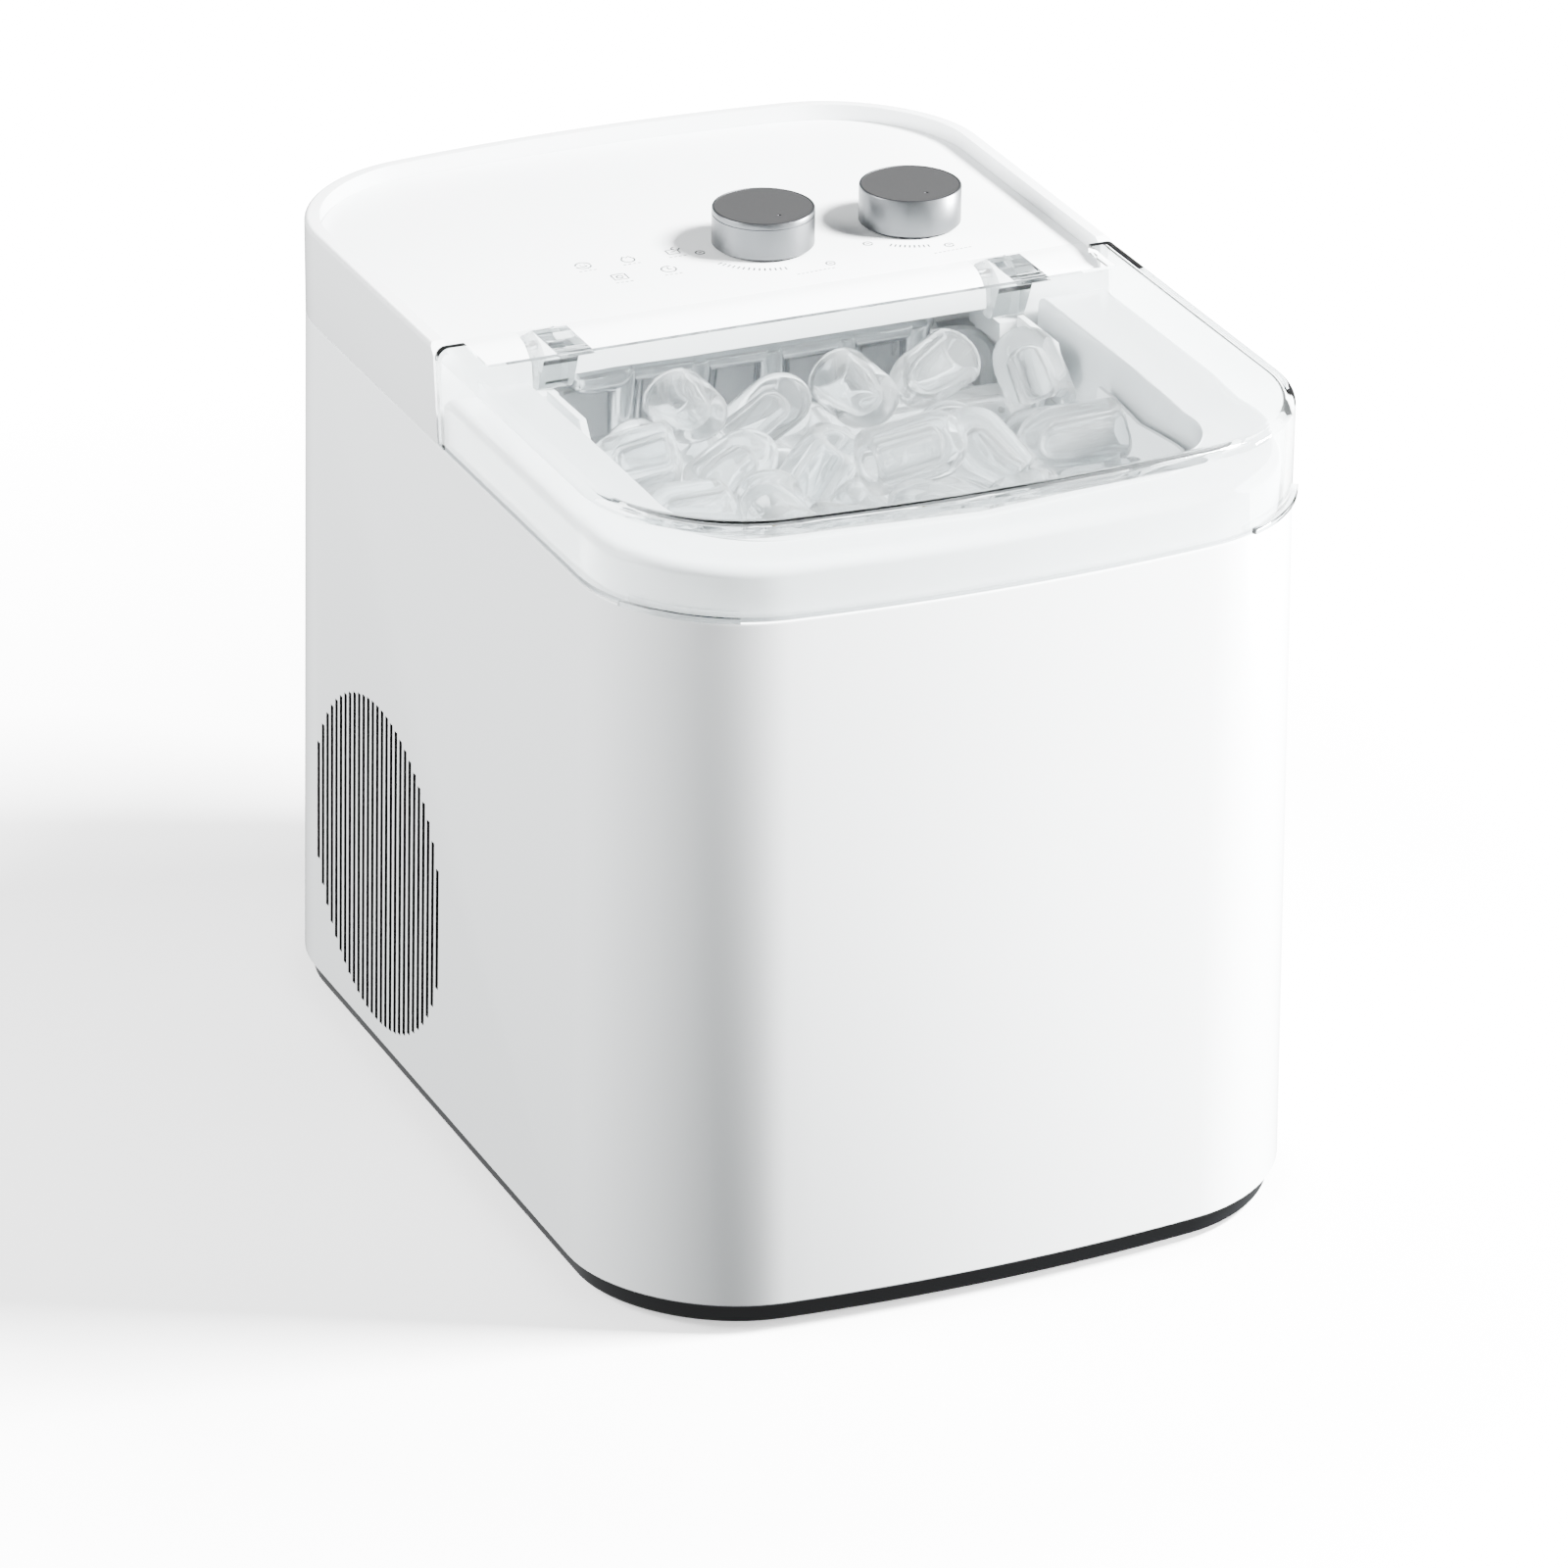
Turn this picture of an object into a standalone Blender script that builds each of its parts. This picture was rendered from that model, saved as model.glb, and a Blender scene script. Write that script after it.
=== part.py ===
"""Countertop ice maker, built from separate solids in millimetres and placed in metres.

+Z is up, the front faces -Y and the origin is on the floor under the middle of the machine.
"""

import math

import bmesh
import bpy
from mathutils import Vector

MM = 0.001

# Driving sizes, in millimetres.
WIDTH = 240.0  # across the shell at the seam
DEPTH = 336.0  # front bow to back bow at the seam
CORNER_R = 48.0  # upright corners of the plan
FRONT_BOW = 11.0  # how far the front bulges past its corners
BACK_BOW = 12.0
DRAFT = 3.6  # how much wider each side is at the shell's foot
FOOT_H = 2.5  # floor to the underside of the base
BASE_BAND = 7.0  # black band seen under the shell
SEAM_Z = 244.0  # shell's top edge
TOP_Z = 277.0  # rim of the head and top of the lid
SHELL_T = 2.6
LID_T = 3.0
RIM_W = 5.0  # raised rim round the control panel
PANEL_DROP = 5.5  # rim to panel surface
PANEL_T = 2.2
HEAD_FRONT_Y = 3.0  # foot of the head's front face
KNOB_R = 17.0
KNOB_H = 13.5
KNOB_XS = (17.5, 70.5)
KNOB_Y = 58.5
EAR_X = WIDTH / 2 - 40  # middle of each lid ear
EAR_W = 12.0
PIVOT_Y = 13.6  # lid's hinge axis
PIVOT_Z = 268.6
OPEN_HALF = WIDTH / 2 - 29  # half the width of the ice opening
OPEN_FRONT_Y = 20 - DEPTH / 2
LEDGE_Z = 261.0  # top of the collar round the opening
TRAY_Y = 50.0  # tipping axis of the water tray
TRAY_Z = 232.0
VENT_Y = DEPTH / 2 - 114
VENT_Z = 74.0
VENT_R = 57.5
VENT_PITCH = 4.1
VENT_SLOT = 2.0

# Clearances, in millimetres.
GAP = 0.3  # between two pieces that touch
RUN = 0.1  # radial, round a turning shaft

# Sizes that follow from the ones above.
SHELL_Z0 = FOOT_H + BASE_BAND + GAP
HOOD_Z = 257.5  # top of the hood over the ice chamber
PANEL_Z = TOP_Z - PANEL_DROP
DECK_Z = PANEL_Z - PANEL_T - GAP
HEAD_Z0 = SEAM_Z + GAP
HALF_W = WIDTH / 2
HALF_D = DEPTH / 2
BASE_IN = SHELL_T + 0.4 - DRAFT  # base wall, just inside the foot of the shell


def srgb(code):
    """Linear colour from an sRGB hex code."""
    parts = [int(code[i : i + 2], 16) / 255 for i in (1, 3, 5)]
    return [c / 12.92 if c <= 0.04045 else ((c + 0.055) / 1.055) ** 2.4 for c in parts]


def paint(obj, colour, rough, metal=0.0, alpha=1.0):
    """Gives the object its own material."""
    mat = bpy.data.materials.new(obj.name)
    mat.use_nodes = True
    bsdf = mat.node_tree.nodes["Principled BSDF"]
    bsdf.inputs["Base Color"].default_value = (*srgb(colour), 1.0)
    bsdf.inputs["Roughness"].default_value = rough
    bsdf.inputs["Metallic"].default_value = metal
    bsdf.inputs["Alpha"].default_value = alpha
    obj.data.materials.append(mat)


# Plan outlines, as lists of (x, y) in millimetres, counter-clockwise.


def offset(poly, dist):
    """Moves every side of a closed polygon inwards by dist, or outwards when it is negative."""
    count = len(poly)
    result = []
    for i in range(count):
        x0, y0 = poly[i - 1]
        x1, y1 = poly[i]
        x2, y2 = poly[(i + 1) % count]
        ax, ay = x1 - x0, y1 - y0
        bx, by = x2 - x1, y2 - y1
        la, lb = math.hypot(ax, ay), math.hypot(bx, by)
        nx, ny = -ay / la - by / lb, ax / la + bx / lb
        length = math.hypot(nx, ny)
        nx, ny = nx / length, ny / length
        cos_half = nx * -ay / la + ny * ax / la
        result.append((x1 + nx * dist / cos_half, y1 + ny * dist / cos_half))
    return result


def plan(inset=0.0, steps=6, bow_steps=6):
    """Outline of the machine seen from above: rounded corners with a bowed front and back."""
    hx, hy = HALF_W - CORNER_R, HALF_D - CORNER_R
    points = []
    for cx, cy, start in ((hx, -hy, -90), (hx, hy, 0), (-hx, hy, 90), (-hx, -hy, 180)):
        for k in range(steps + 1):
            a = math.radians(start + 90 * k / steps)
            points.append((cx + CORNER_R * math.cos(a), cy + CORNER_R * math.sin(a)))
        if start in (0, 180):
            side = hy + CORNER_R if start == 0 else -hy - CORNER_R
            for k in range(1, bow_steps):
                x = cx + (-cx - cx) * k / bow_steps
                points.append((x, side))
    bowed = []
    for x, y in points:
        bow = FRONT_BOW if y < 0 else BACK_BOW
        bowed.append((x, y - math.copysign(bow * (x / HALF_W) ** 2 * abs(y) / HALF_D, y)))
    return offset(bowed, inset)


def clip(poly, axis, limit, keep_above):
    """Cuts a polygon along one axis and keeps one side."""
    sign = 1 if keep_above else -1
    result = []
    for i, here in enumerate(poly):
        before = poly[i - 1]
        d0, d1 = sign * (before[axis] - limit), sign * (here[axis] - limit)
        if d0 * d1 < 0:
            t = d0 / (d0 - d1)
            result.append(tuple(before[k] + t * (here[k] - before[k]) for k in (0, 1)))
        if d1 >= 0:
            result.append(here)
    return result


def rect(x0, x1, y0, y1, radius=0.0, steps=3):
    """Rectangle, with rounded corners when a radius is given."""
    if radius == 0:
        return [(x0, y0), (x1, y0), (x1, y1), (x0, y1)]
    points = []
    corners = ((x1 - radius, y0 + radius, -90), (x1 - radius, y1 - radius, 0))
    corners += ((x0 + radius, y1 - radius, 90), (x0 + radius, y0 + radius, 180))
    for cx, cy, start in corners:
        for k in range(steps + 1):
            a = math.radians(start + 90 * k / steps)
            points.append((cx + radius * math.cos(a), cy + radius * math.sin(a)))
    return points


def circle(cx, cy, radius, count=24):
    """Regular polygon on a circle."""
    turn = 2 * math.pi / count
    return [(cx + radius * math.cos(turn * k), cy + radius * math.sin(turn * k)) for k in range(count)]


# Solids.


def add_mesh(name, verts, faces, origin=(0.0, 0.0, 0.0)):
    """Makes an object from points in millimetres in the machine's frame, with its origin where asked."""
    mesh = bpy.data.meshes.new(name)
    at = Vector(origin)
    mesh.from_pydata([(Vector(v) - at) * MM for v in verts], [], faces)
    work = bmesh.new()
    work.from_mesh(mesh)
    bmesh.ops.recalc_face_normals(work, faces=work.faces)
    work.to_mesh(mesh)
    work.free()
    obj = bpy.data.objects.new(name, mesh)
    obj.location = at * MM
    bpy.context.scene.collection.objects.link(obj)
    return obj


def loft(name, rings, origin=(0.0, 0.0, 0.0), closed=False):
    """Solid through a stack of equal-sized rings of points; the ends are capped unless it is closed."""
    count = len(rings[0])
    verts = [p for ring in rings for p in ring]
    faces = []
    spans = len(rings) if closed else len(rings) - 1
    for r in range(spans):
        low, high = r * count, (r + 1) % len(rings) * count
        for i in range(count):
            j = (i + 1) % count
            faces.append((low + i, low + j, high + j, high + i))
    if not closed:
        faces.append(tuple(reversed(range(count))))
        faces.append(tuple(range((len(rings) - 1) * count, len(rings) * count)))
    return add_mesh(name, verts, faces, origin)


def level(poly, z):
    """The polygon as points at one height."""
    return [(x, y, z) for x, y in poly]


def slab(name, poly, z0, z1, top=0.0, foot=0.0, steps=3, origin=(0.0, 0.0, 0.0)):
    """Upright prism on a polygon, with its top and bottom edges rounded by the radii given."""
    rings = []
    if foot:
        for k in range(steps):
            a = math.pi / 2 * k / steps
            rings.append(level(offset(poly, foot * (1 - math.sin(a))), z0 + foot * (1 - math.cos(a))))
        rings.append(level(poly, z0 + foot))
    else:
        rings.append(level(poly, z0))
    if top:
        rings.append(level(poly, z1 - top))
        for k in range(1, steps + 1):
            a = math.pi / 2 * k / steps
            rings.append(level(offset(poly, top * (1 - math.cos(a))), z1 - top * (1 - math.sin(a))))
    else:
        rings.append(level(poly, z1))
    return loft(name, rings, origin)


def box(name, xs, ys, zs, radius=0.0, origin=(0.0, 0.0, 0.0)):
    """Block between pairs of limits, its upright edges rounded by the radius."""
    return slab(name, rect(*xs, *ys, radius), *zs, origin=origin)


def prism_x(name, profile, x0, x1, origin=(0.0, 0.0, 0.0)):
    """Prism along X on a profile of (y, z) points."""
    rings = [[(x, y, z) for y, z in profile] for x in (x0, x1)]
    return loft(name, rings, origin)


def turned(name, profile, at, axis="z", count=24):
    """Solid of revolution. The profile lists (radius, height) from one end of the axis to the other."""
    rings = []
    for radius, height in profile:
        ring = []
        for k in range(count):
            a = 2 * math.pi * k / count
            u, v = radius * math.cos(a), radius * math.sin(a)
            spot = {"x": (height, u, v), "y": (v, height, u), "z": (u, v, height)}[axis]
            ring.append(tuple(at[i] + spot[i] for i in range(3)))
        rings.append(ring)
    return loft(name, rings, at)


def sleeve(name, radius, bore, low, high, at, axis="z", count=24):
    """Plain tube: a turned ring with a through bore."""
    rings = []
    for r, h in ((radius, low), (radius, high), (bore, high), (bore, low)):
        ring = []
        for k in range(count):
            a = 2 * math.pi * k / count
            u, v = r * math.cos(a), r * math.sin(a)
            spot = {"x": (h, u, v), "y": (v, h, u), "z": (u, v, h)}[axis]
            ring.append(tuple(at[i] + spot[i] for i in range(3)))
        rings.append(ring)
    return loft(name, rings, at, closed=True)


def smooth_path(points, bend=8.0, steps=4):
    """Rounds the inner corners of a polyline."""
    path = [Vector(points[0])]
    for before, here, after in zip(points, points[1:], points[2:]):
        a, b, c = Vector(before), Vector(here), Vector(after)
        reach = min(bend, (a - b).length * 0.49, (c - b).length * 0.49)
        start, end = b + (a - b).normalized() * reach, b + (c - b).normalized() * reach
        for k in range(steps + 1):
            t = k / steps
            path.append(start * (1 - t) ** 2 + b * 2 * t * (1 - t) + end * t * t)
    path.append(Vector(points[-1]))
    return path


def pipe(name, points, radius, bend=8.0, count=12, steps=4):
    """Round bar or pipe swept along a rounded polyline."""
    path = smooth_path(points, bend, steps)
    rings = []
    side = None
    for i, spot in enumerate(path):
        ahead = path[min(i + 1, len(path) - 1)] - path[max(i - 1, 0)]
        ahead.normalize()
        if side is None:
            side = ahead.cross(Vector((0.3, 0.5, 0.81))).normalized()
        side = (side - ahead * side.dot(ahead)).normalized()
        up = ahead.cross(side)
        ring = []
        for k in range(count):
            a = 2 * math.pi * k / count
            ring.append(tuple(spot + side * (radius * math.cos(a)) + up * (radius * math.sin(a))))
        rings.append(ring)
    return loft(name, rings, points[0])


def cutter(obj):
    """Marks an object as a tool for a Boolean, so it isn't a piece of the machine."""
    obj.hide_render = True
    obj.display_type = "WIRE"
    return obj


def gang(name, objs):
    """Joins separate tool solids into one object, so that one Boolean takes them all."""
    verts, faces = [], []
    for obj in objs:
        start = len(verts)
        verts += [(obj.matrix_basis @ v.co) / MM for v in obj.data.vertices]
        faces += [tuple(start + i for i in f.vertices) for f in obj.data.polygons]
        bpy.data.objects.remove(obj)
    return add_mesh(name, verts, faces)


def combine(obj, tool, how="DIFFERENCE"):
    """Adds an exact Boolean with a tool object."""
    mod = obj.modifiers.new(tool.name, "BOOLEAN")
    mod.operation = how
    mod.solver = "EXACT"
    mod.object = cutter(tool)


def soften(obj, angle=35):
    """Smooth shading with sharp edges kept."""
    for face in obj.data.polygons:
        face.use_smooth = True
    obj.data.set_sharp_from_angle(angle=math.radians(angle))


for old in list(bpy.data.objects):
    bpy.data.objects.remove(old)


# Base and feet. The base wall stands just inside the foot of the shell.

rings = [
    level(plan(BASE_IN + 1.2), FOOT_H),
    level(plan(BASE_IN), FOOT_H + 1.2),
    level(plan(BASE_IN), SHELL_Z0 + 8),
    level(plan(BASE_IN + 3), SHELL_Z0 + 8),
    level(plan(BASE_IN + 3), FOOT_H + 3),
]
base = loft("base_pan", rings)
paint(base, "#101113", 0.18)
FOOT_X, FOOT_Y = HALF_W - 34, HALF_D - 46
for place, x, y in (
    ("front_left", -FOOT_X, -FOOT_Y),
    ("front_right", FOOT_X, -FOOT_Y),
    ("rear_left", -FOOT_X, FOOT_Y),
    ("rear_right", FOOT_X, FOOT_Y),
):
    combine(base, turned("foot_hole_" + place, [(3.2, -2), (3.2, 6)], (x, y, FOOT_H), count=16))
    profile = [(9.2, 0), (10, 0.8), (10, FOOT_H - GAP), (3, FOOT_H - GAP), (3, 8.2)]
    foot = turned("foot_" + place, profile, (x, y, 0), count=20)
    paint(foot, "#1B1B1D", 0.85)
DRAIN = (0, -80)
combine(base, turned("drain_hole", [(12.5, -2), (12.5, 6)], (*DRAIN, FOOT_H)))


# Outer shell: one drafted sleeve with the round patch of air slots and the rear window.

rings = [
    level(plan(-DRAFT), SHELL_Z0),
    level(plan(0), SEAM_Z - 0.6),
    level(plan(0.6), SEAM_Z),
    level(plan(SHELL_T), SEAM_Z),
    level(plan(SHELL_T - DRAFT), SHELL_Z0),
]
shell = loft("outer_shell", rings, closed=True)
paint(shell, "#F2F3F3", 0.25)
slots = []
half_count = int(VENT_R / VENT_PITCH)
for i in range(-half_count, half_count + 1):
    dy = i * VENT_PITCH
    half = math.sqrt(VENT_R**2 - dy**2) - 1
    if half > 3:
        ys = (VENT_Y + dy - VENT_SLOT / 2, VENT_Y + dy + VENT_SLOT / 2)
        slots.append(box(f"slot_{i}", (-HALF_W - 8, -HALF_W + 8), ys, (VENT_Z - half, VENT_Z + half)))
combine(shell, gang("side_slots", slots))
WINDOW = (58, 30, 222)  # half width and heights of the opening in the back
combine(shell, box("rear_window", (-WINDOW[0], WINDOW[0]), (HALF_D - 25, HALF_D + 20), WINDOW[1:]))


# Rear panel behind the window, with louvres, an appliance inlet and four screws.


def draft_at(z):
    return DRAFT * (SEAM_Z - z) / (SEAM_Z - SHELL_Z0)


def back_strip(half, z, near, far):
    """Strip of the plan along the back, between two depths inside the shell's outer face."""
    strips = []
    for inset in (near, far):
        line = clip(clip(plan(inset - draft_at(z)), 1, 60, True), 0, half, False)
        line = [p for p in clip(line, 0, -half, True) if p[1] > 100]
        strips.append(sorted(line))
    return level(strips[1] + strips[0][::-1], z)


PANEL_HALF, PANEL_Z0, PANEL_Z1 = 69, 18, 234
rings = [back_strip(PANEL_HALF, z, SHELL_T + GAP, SHELL_T + GAP + 2) for z in (PANEL_Z0, PANEL_Z1)]
rear = loft("rear_panel", rings)
paint(rear, "#E9EAEA", 0.45)
louvres = []
for row in range(6):
    z = 120 + row * 12
    for side in (-1, 1):
        xs = sorted((side * 4, side * 50))
        louvres.append(box(f"louvre_{row}_{side}", xs, (HALF_D - 25, HALF_D + 5), (z, z + 4)))
combine(rear, gang("louvres", louvres))
INLET = (-40, 50)
inlet_hole = (INLET[0] - 13, INLET[0] + 13), (HALF_D - 28, HALF_D + 12), (INLET[1] - 10, INLET[1] + 10)
combine(rear, box("inlet_hole", *inlet_hole))
INLET_Y = HALF_D - SHELL_T - 1.2
body = (INLET[0] - 12.6, INLET[0] + 12.6), (INLET_Y - 24, INLET_Y), (INLET[1] - 9.6, INLET[1] + 9.6)
inlet = box("power_inlet", *body)
flange = (INLET[0] - 16, INLET[0] + 16), (INLET_Y - 8.4, INLET_Y - 5.9), (INLET[1] - 13, INLET[1] + 13)
combine(inlet, box("inlet_flange", *flange), "UNION")
socket = rect(INLET[0] - 10, INLET[0] + 10, INLET[1] - 7, INLET[1] + 7, 3)
rings = [[(x, y, z) for x, z in socket] for y in (INLET_Y - 15, INLET_Y + 5)]
combine(inlet, loft("inlet_socket", rings))
for dx, dz in ((-6, -2.5), (0, 2.5), (6, -2.5)):
    x, z = INLET[0] + dx, INLET[1] + dz
    blade = box(f"inlet_blade_{dx}", (x - 1, x + 1), (INLET_Y - 17, INLET_Y - 4), (z - 2, z + 2))
    combine(inlet, blade, "UNION")
paint(inlet, "#161618", 0.5)
SCREWS = [(x, z) for z in (24, 228) for x in (-64, 64)]
for number, (x, z) in enumerate(SCREWS, 1):
    face = HALF_D + draft_at(z) - BACK_BOW * (x / HALF_W) ** 2
    for host in (shell, rear):
        hole = turned(f"screw_way_{host.name}_{number}", [(1.8, -12), (1.8, 8)], (x, face, z), "y", 16)
        combine(host, hole)
    seat = turned(f"screw_seat_{number}", [(4.2, -1.5), (4.2, 8)], (x, face, z), "y", 20)
    combine(shell, seat)
    profile = [(1.1, -9), (1.5, -8), (1.5, -1.2), (3.6, -1.2), (3.6, -0.2), (2.4, 0.7)]
    screw = turned(f"rear_screw_{number}", profile, (x, face, z), "y", 16)
    notch = (x - 0.4, x + 0.4), (face - 0.3, face + 2), (z - 1.8, z + 1.8)
    combine(screw, box(f"screw_slot_{number}", *notch))
    paint(screw, "#9A9C9F", 0.35, 1.0)


# Head: raised rim, sloping front face with two hinge slots, open underneath.

head = slab("head_housing", clip(plan(), 1, HEAD_FRONT_Y, True), HEAD_Z0, TOP_Z, top=1.6)
LEAN = 0.11  # how far the front face leans back per millimetre of height


def front_y(z):
    """Front face of the head at a height."""
    return HEAD_FRONT_Y + LEAN * (z - SEAM_Z)


slope = [(-20, 230), (front_y(230), 230), (front_y(290), 290), (-20, 290)]
combine(head, prism_x("front_slope", slope, -HALF_W - 9, HALF_W + 9))
BEAM_BACK_Y = 27.0
RECESS_Y = 20.0
combine(head, slab("recess_back", clip(plan(RIM_W), 1, RECESS_Y, True), DECK_Z, TOP_Z + 9))
combine(head, slab("recess_front", clip(plan(RIM_W), 1, -20, True), PANEL_Z, TOP_Z + 9))
crown = [
    (-20, 240),
    (front_y(262), 262),
    (front_y(265) + 0.4, 265),
    (front_y(268) + 1.6, 268),
    (front_y(270) + 4.0, 270),
    (front_y(271) + 6.6, 271),
    (front_y(PANEL_Z) + 10, PANEL_Z),
    (front_y(PANEL_Z) + 10, TOP_Z + 9),
    (-20, TOP_Z + 9),
]
combine(head, prism_x("front_crown", crown, RIM_W - HALF_W, HALF_W - RIM_W))
SWING_R = PIVOT_Y - HEAD_FRONT_Y - 1.6  # rim ends are rounded so that the lid's back edge swings past them
turns = [math.radians(145 - 5 * k) for k in range(7)]
rim_end = [(PIVOT_Y + SWING_R * math.cos(a), PIVOT_Z + SWING_R * math.sin(a)) for a in turns]
rim_end = [(-20, rim_end[0][1])] + rim_end + [(rim_end[-1][0], TOP_Z + 9), (-20, TOP_Z + 9)]
combine(head, prism_x("rim_end", rim_end, -HALF_W - 9, HALF_W + 9))
combine(head, slab("head_room", clip(plan(RIM_W + 4.5), 1, BEAM_BACK_Y, True), 230, TOP_Z - 4))
combine(head, slab("head_wall_room", clip(plan(3.0), 1, BEAM_BACK_Y, True), 230, 262))
combine(head, box("front_window", (-78, 78), (-20, BEAM_BACK_Y + 6), (230, 258)))
for side in (-1, 1):
    slot = sorted((side * (EAR_X - EAR_W / 2 - 0.8), side * (EAR_X + EAR_W / 2 + 0.8)))
    combine(head, box(f"ear_slot_{side}", slot, (-20, RECESS_Y), (252, TOP_Z + 9)))
    pocket = sorted((side * (EAR_X + 10), side * (HALF_W - 3)))
    combine(head, box(f"corner_pocket_{side}", pocket, (7, BEAM_BACK_Y + 3), (230, 262)))
paint(head, "#F1F3F3", 0.3)

PIN_R = 1.5
for side, place in ((-1, "left"), (1, "right")):
    at = (side * EAR_X, PIVOT_Y, PIVOT_Z)
    reach = EAR_W / 2 + 5
    way = [(PIN_R + RUN, -reach - 0.2), (PIN_R + RUN, reach + 0.2)]
    combine(head, turned("pin_bore_" + place, way, at, "x", 16))
    pin = turned("hinge_pin_" + place, [(PIN_R, -reach), (PIN_R, reach)], at, "x", 16)
    paint(pin, "#B9BCC0", 0.3, 1.0)


# Control panel with its rotary switches, shafts and knobs.

panel_plan = clip(plan(RIM_W + GAP), 1, RECESS_Y + GAP, True)
panel = slab("control_panel", panel_plan, PANEL_Z - PANEL_T, PANEL_Z)
paint(panel, "#ECEEEE", 0.4)
SHAFT_R = 3.0
BOARD_Z = HOOD_Z + 1.5
board = box("control_board", (-60, 96), (36, 72), (BOARD_Z, BOARD_Z + 1.6), 2)
paint(board, "#1E5B3A", 0.5)
for x, place in zip(KNOB_XS, ("left", "right")):
    at = (x, KNOB_Y, PANEL_Z)
    combine(panel, turned("shaft_way_" + place, [(4.9, -9), (4.9, 9)], at))
    low = BOARD_Z + 1.6 + GAP - PANEL_Z
    profile = [(7, low), (7, low + 5), (4.6, low + 5), (4.6, -0.3)]
    switch = turned("selector_switch_" + place, profile, at)
    combine(switch, turned("switch_bore_" + place, [(SHAFT_R + RUN, low + 3), (SHAFT_R + RUN, 9)], at))
    paint(switch, "#8D9094", 0.35, 1.0)
    shaft = turned("knob_shaft_" + place, [(SHAFT_R, low + 3 + GAP), (SHAFT_R, 9.5)], at)
    paint(shaft, "#C9B26A", 0.35, 1.0)
    profile = [(KNOB_R - 0.5, 0.7), (KNOB_R, 1.2), (KNOB_R, KNOB_H - 0.7), (KNOB_R - 0.7, KNOB_H)]
    knob = turned("knob_" + place, profile, at, count=36)
    cup = sleeve("cup", KNOB_R - 1.6, 5.6, -1, KNOB_H - 3, at, count=20)
    bore = turned("bore", [(SHAFT_R + 0.05, -1), (SHAFT_R + 0.05, 9.8)], at)
    combine(knob, gang("knob_inside_" + place, [cup, bore]))
    edge = KNOB_Y - KNOB_R
    mark = (x - 0.5, x + 0.5), (edge + 3, edge + 6), (PANEL_Z + KNOB_H - 0.5, TOP_Z + 40)
    combine(knob, box("knob_mark_" + place, *mark))
    paint(knob, "#A7A8A9", 0.32, 1.0)
    soften(knob)


# Lid: clear plate and skirt in one piece, with two ears that turn on the pins.

LID_BACK = -1.5  # lid's back edge, ahead of the head's sloping face
lid_plan = clip(plan(), 1, 12, False)
lid = slab("lid", lid_plan, HEAD_Z0, TOP_Z, top=3.4, steps=4, origin=(0, PIVOT_Y, PIVOT_Z))
hollow = slab("lid_hollow", clip(plan(LID_T), 1, 20, False), 230, TOP_Z - LID_T, top=1.2, steps=2)
combine(lid, hollow)
back_cut = [(front_y(z) + LID_BACK, z) for z in (230, 290)] + [(60, 290), (60, 230)]
combine(lid, prism_x("lid_back_cut", back_cut, -HALF_W - 9, HALF_W + 9))
PLATE_BACK_Y = -15.0
plate_back = (10 - HALF_W, HALF_W - 10), (PLATE_BACK_Y, 30), (TOP_Z - 9, TOP_Z + 5)
combine(lid, box("plate_back_cut", *plate_back))
lips = []
for side in (-1, 1):
    near = [i for i, p in enumerate(plan(0, 8)) if p[0] * side > HALF_W - 36 and p[1] < 36 - HALF_D]
    arc = [plan(-1.7, 8)[i] for i in near] + [plan(1.0, 8)[i] for i in reversed(near)]
    lips.append(slab(f"lip_{side}", arc, HEAD_Z0 + 0.12, HEAD_Z0 + 1.8))
combine(lid, gang("lid_lips", lips), "UNION")
ear_side = [(-18, TOP_Z - 0.5), (-18, TOP_Z - 2.4), (-3, 268), (1.6, 257)]
ear_side += [(6 + 4.6 * math.cos(a), 258.5 + 4.6 * math.sin(a)) for a in (3.6, 4.2, 4.8, 5.4, 6.0)]
ear_side += [(11.6, 264.4)]
turns = (-1.6, -0.9, -0.2, 0.4, 1.0)
ear_side += [(PIVOT_Y + 3.6 * math.cos(a), PIVOT_Z + 3.6 * math.sin(a)) for a in turns]
ear_side += [(7, TOP_Z - 0.5)]
for side, place in ((-1, "left"), (1, "right")):
    limits = sorted((side * (EAR_X - EAR_W / 2), side * (EAR_X + EAR_W / 2)))
    combine(lid, prism_x("lid_ear_" + place, ear_side, *limits), "UNION")
for side, place in ((-1, "left"), (1, "right")):
    at = (side * EAR_X, PIVOT_Y, PIVOT_Z)
    combine(lid, turned("ear_bore_" + place, [(PIN_R + RUN, -9), (PIN_R + RUN, 9)], at, "x", 16))
paint(lid, "#E8ECEC", 0.05, alpha=0.3)


# Collar round the ice opening, and the two guards beside the ice chamber.


def collar_plan(outer, edge):
    """U shape between the lid skirt and the opening, both sides moved by the amounts given."""
    ring = clip(plan(LID_T + 1.2 + outer), 1, HEAD_FRONT_Y - 0.6 - outer, False)
    back = [p for p in ring if p[1] > HEAD_FRONT_Y - 0.61 - outer]
    front = [p for p in ring if p not in back]
    start = min(range(len(front)), key=lambda i: (front[i][0] > 0, -front[i][1]))
    front = front[start:] + front[:start]
    outside = [min(back), *front, max(back)]
    half = OPEN_HALF - edge
    inside = [(half, back[0][1])]
    for k in range(9):
        a = math.radians(-90 * k / 8)
        inside.append((half - 34 + 34 * math.cos(a), OPEN_FRONT_Y - edge + 40 + 34 * math.sin(a)))
    inside += [(0, OPEN_FRONT_Y - edge)] + [(-x, y) for x, y in reversed(inside)]
    return outside + inside


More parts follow.
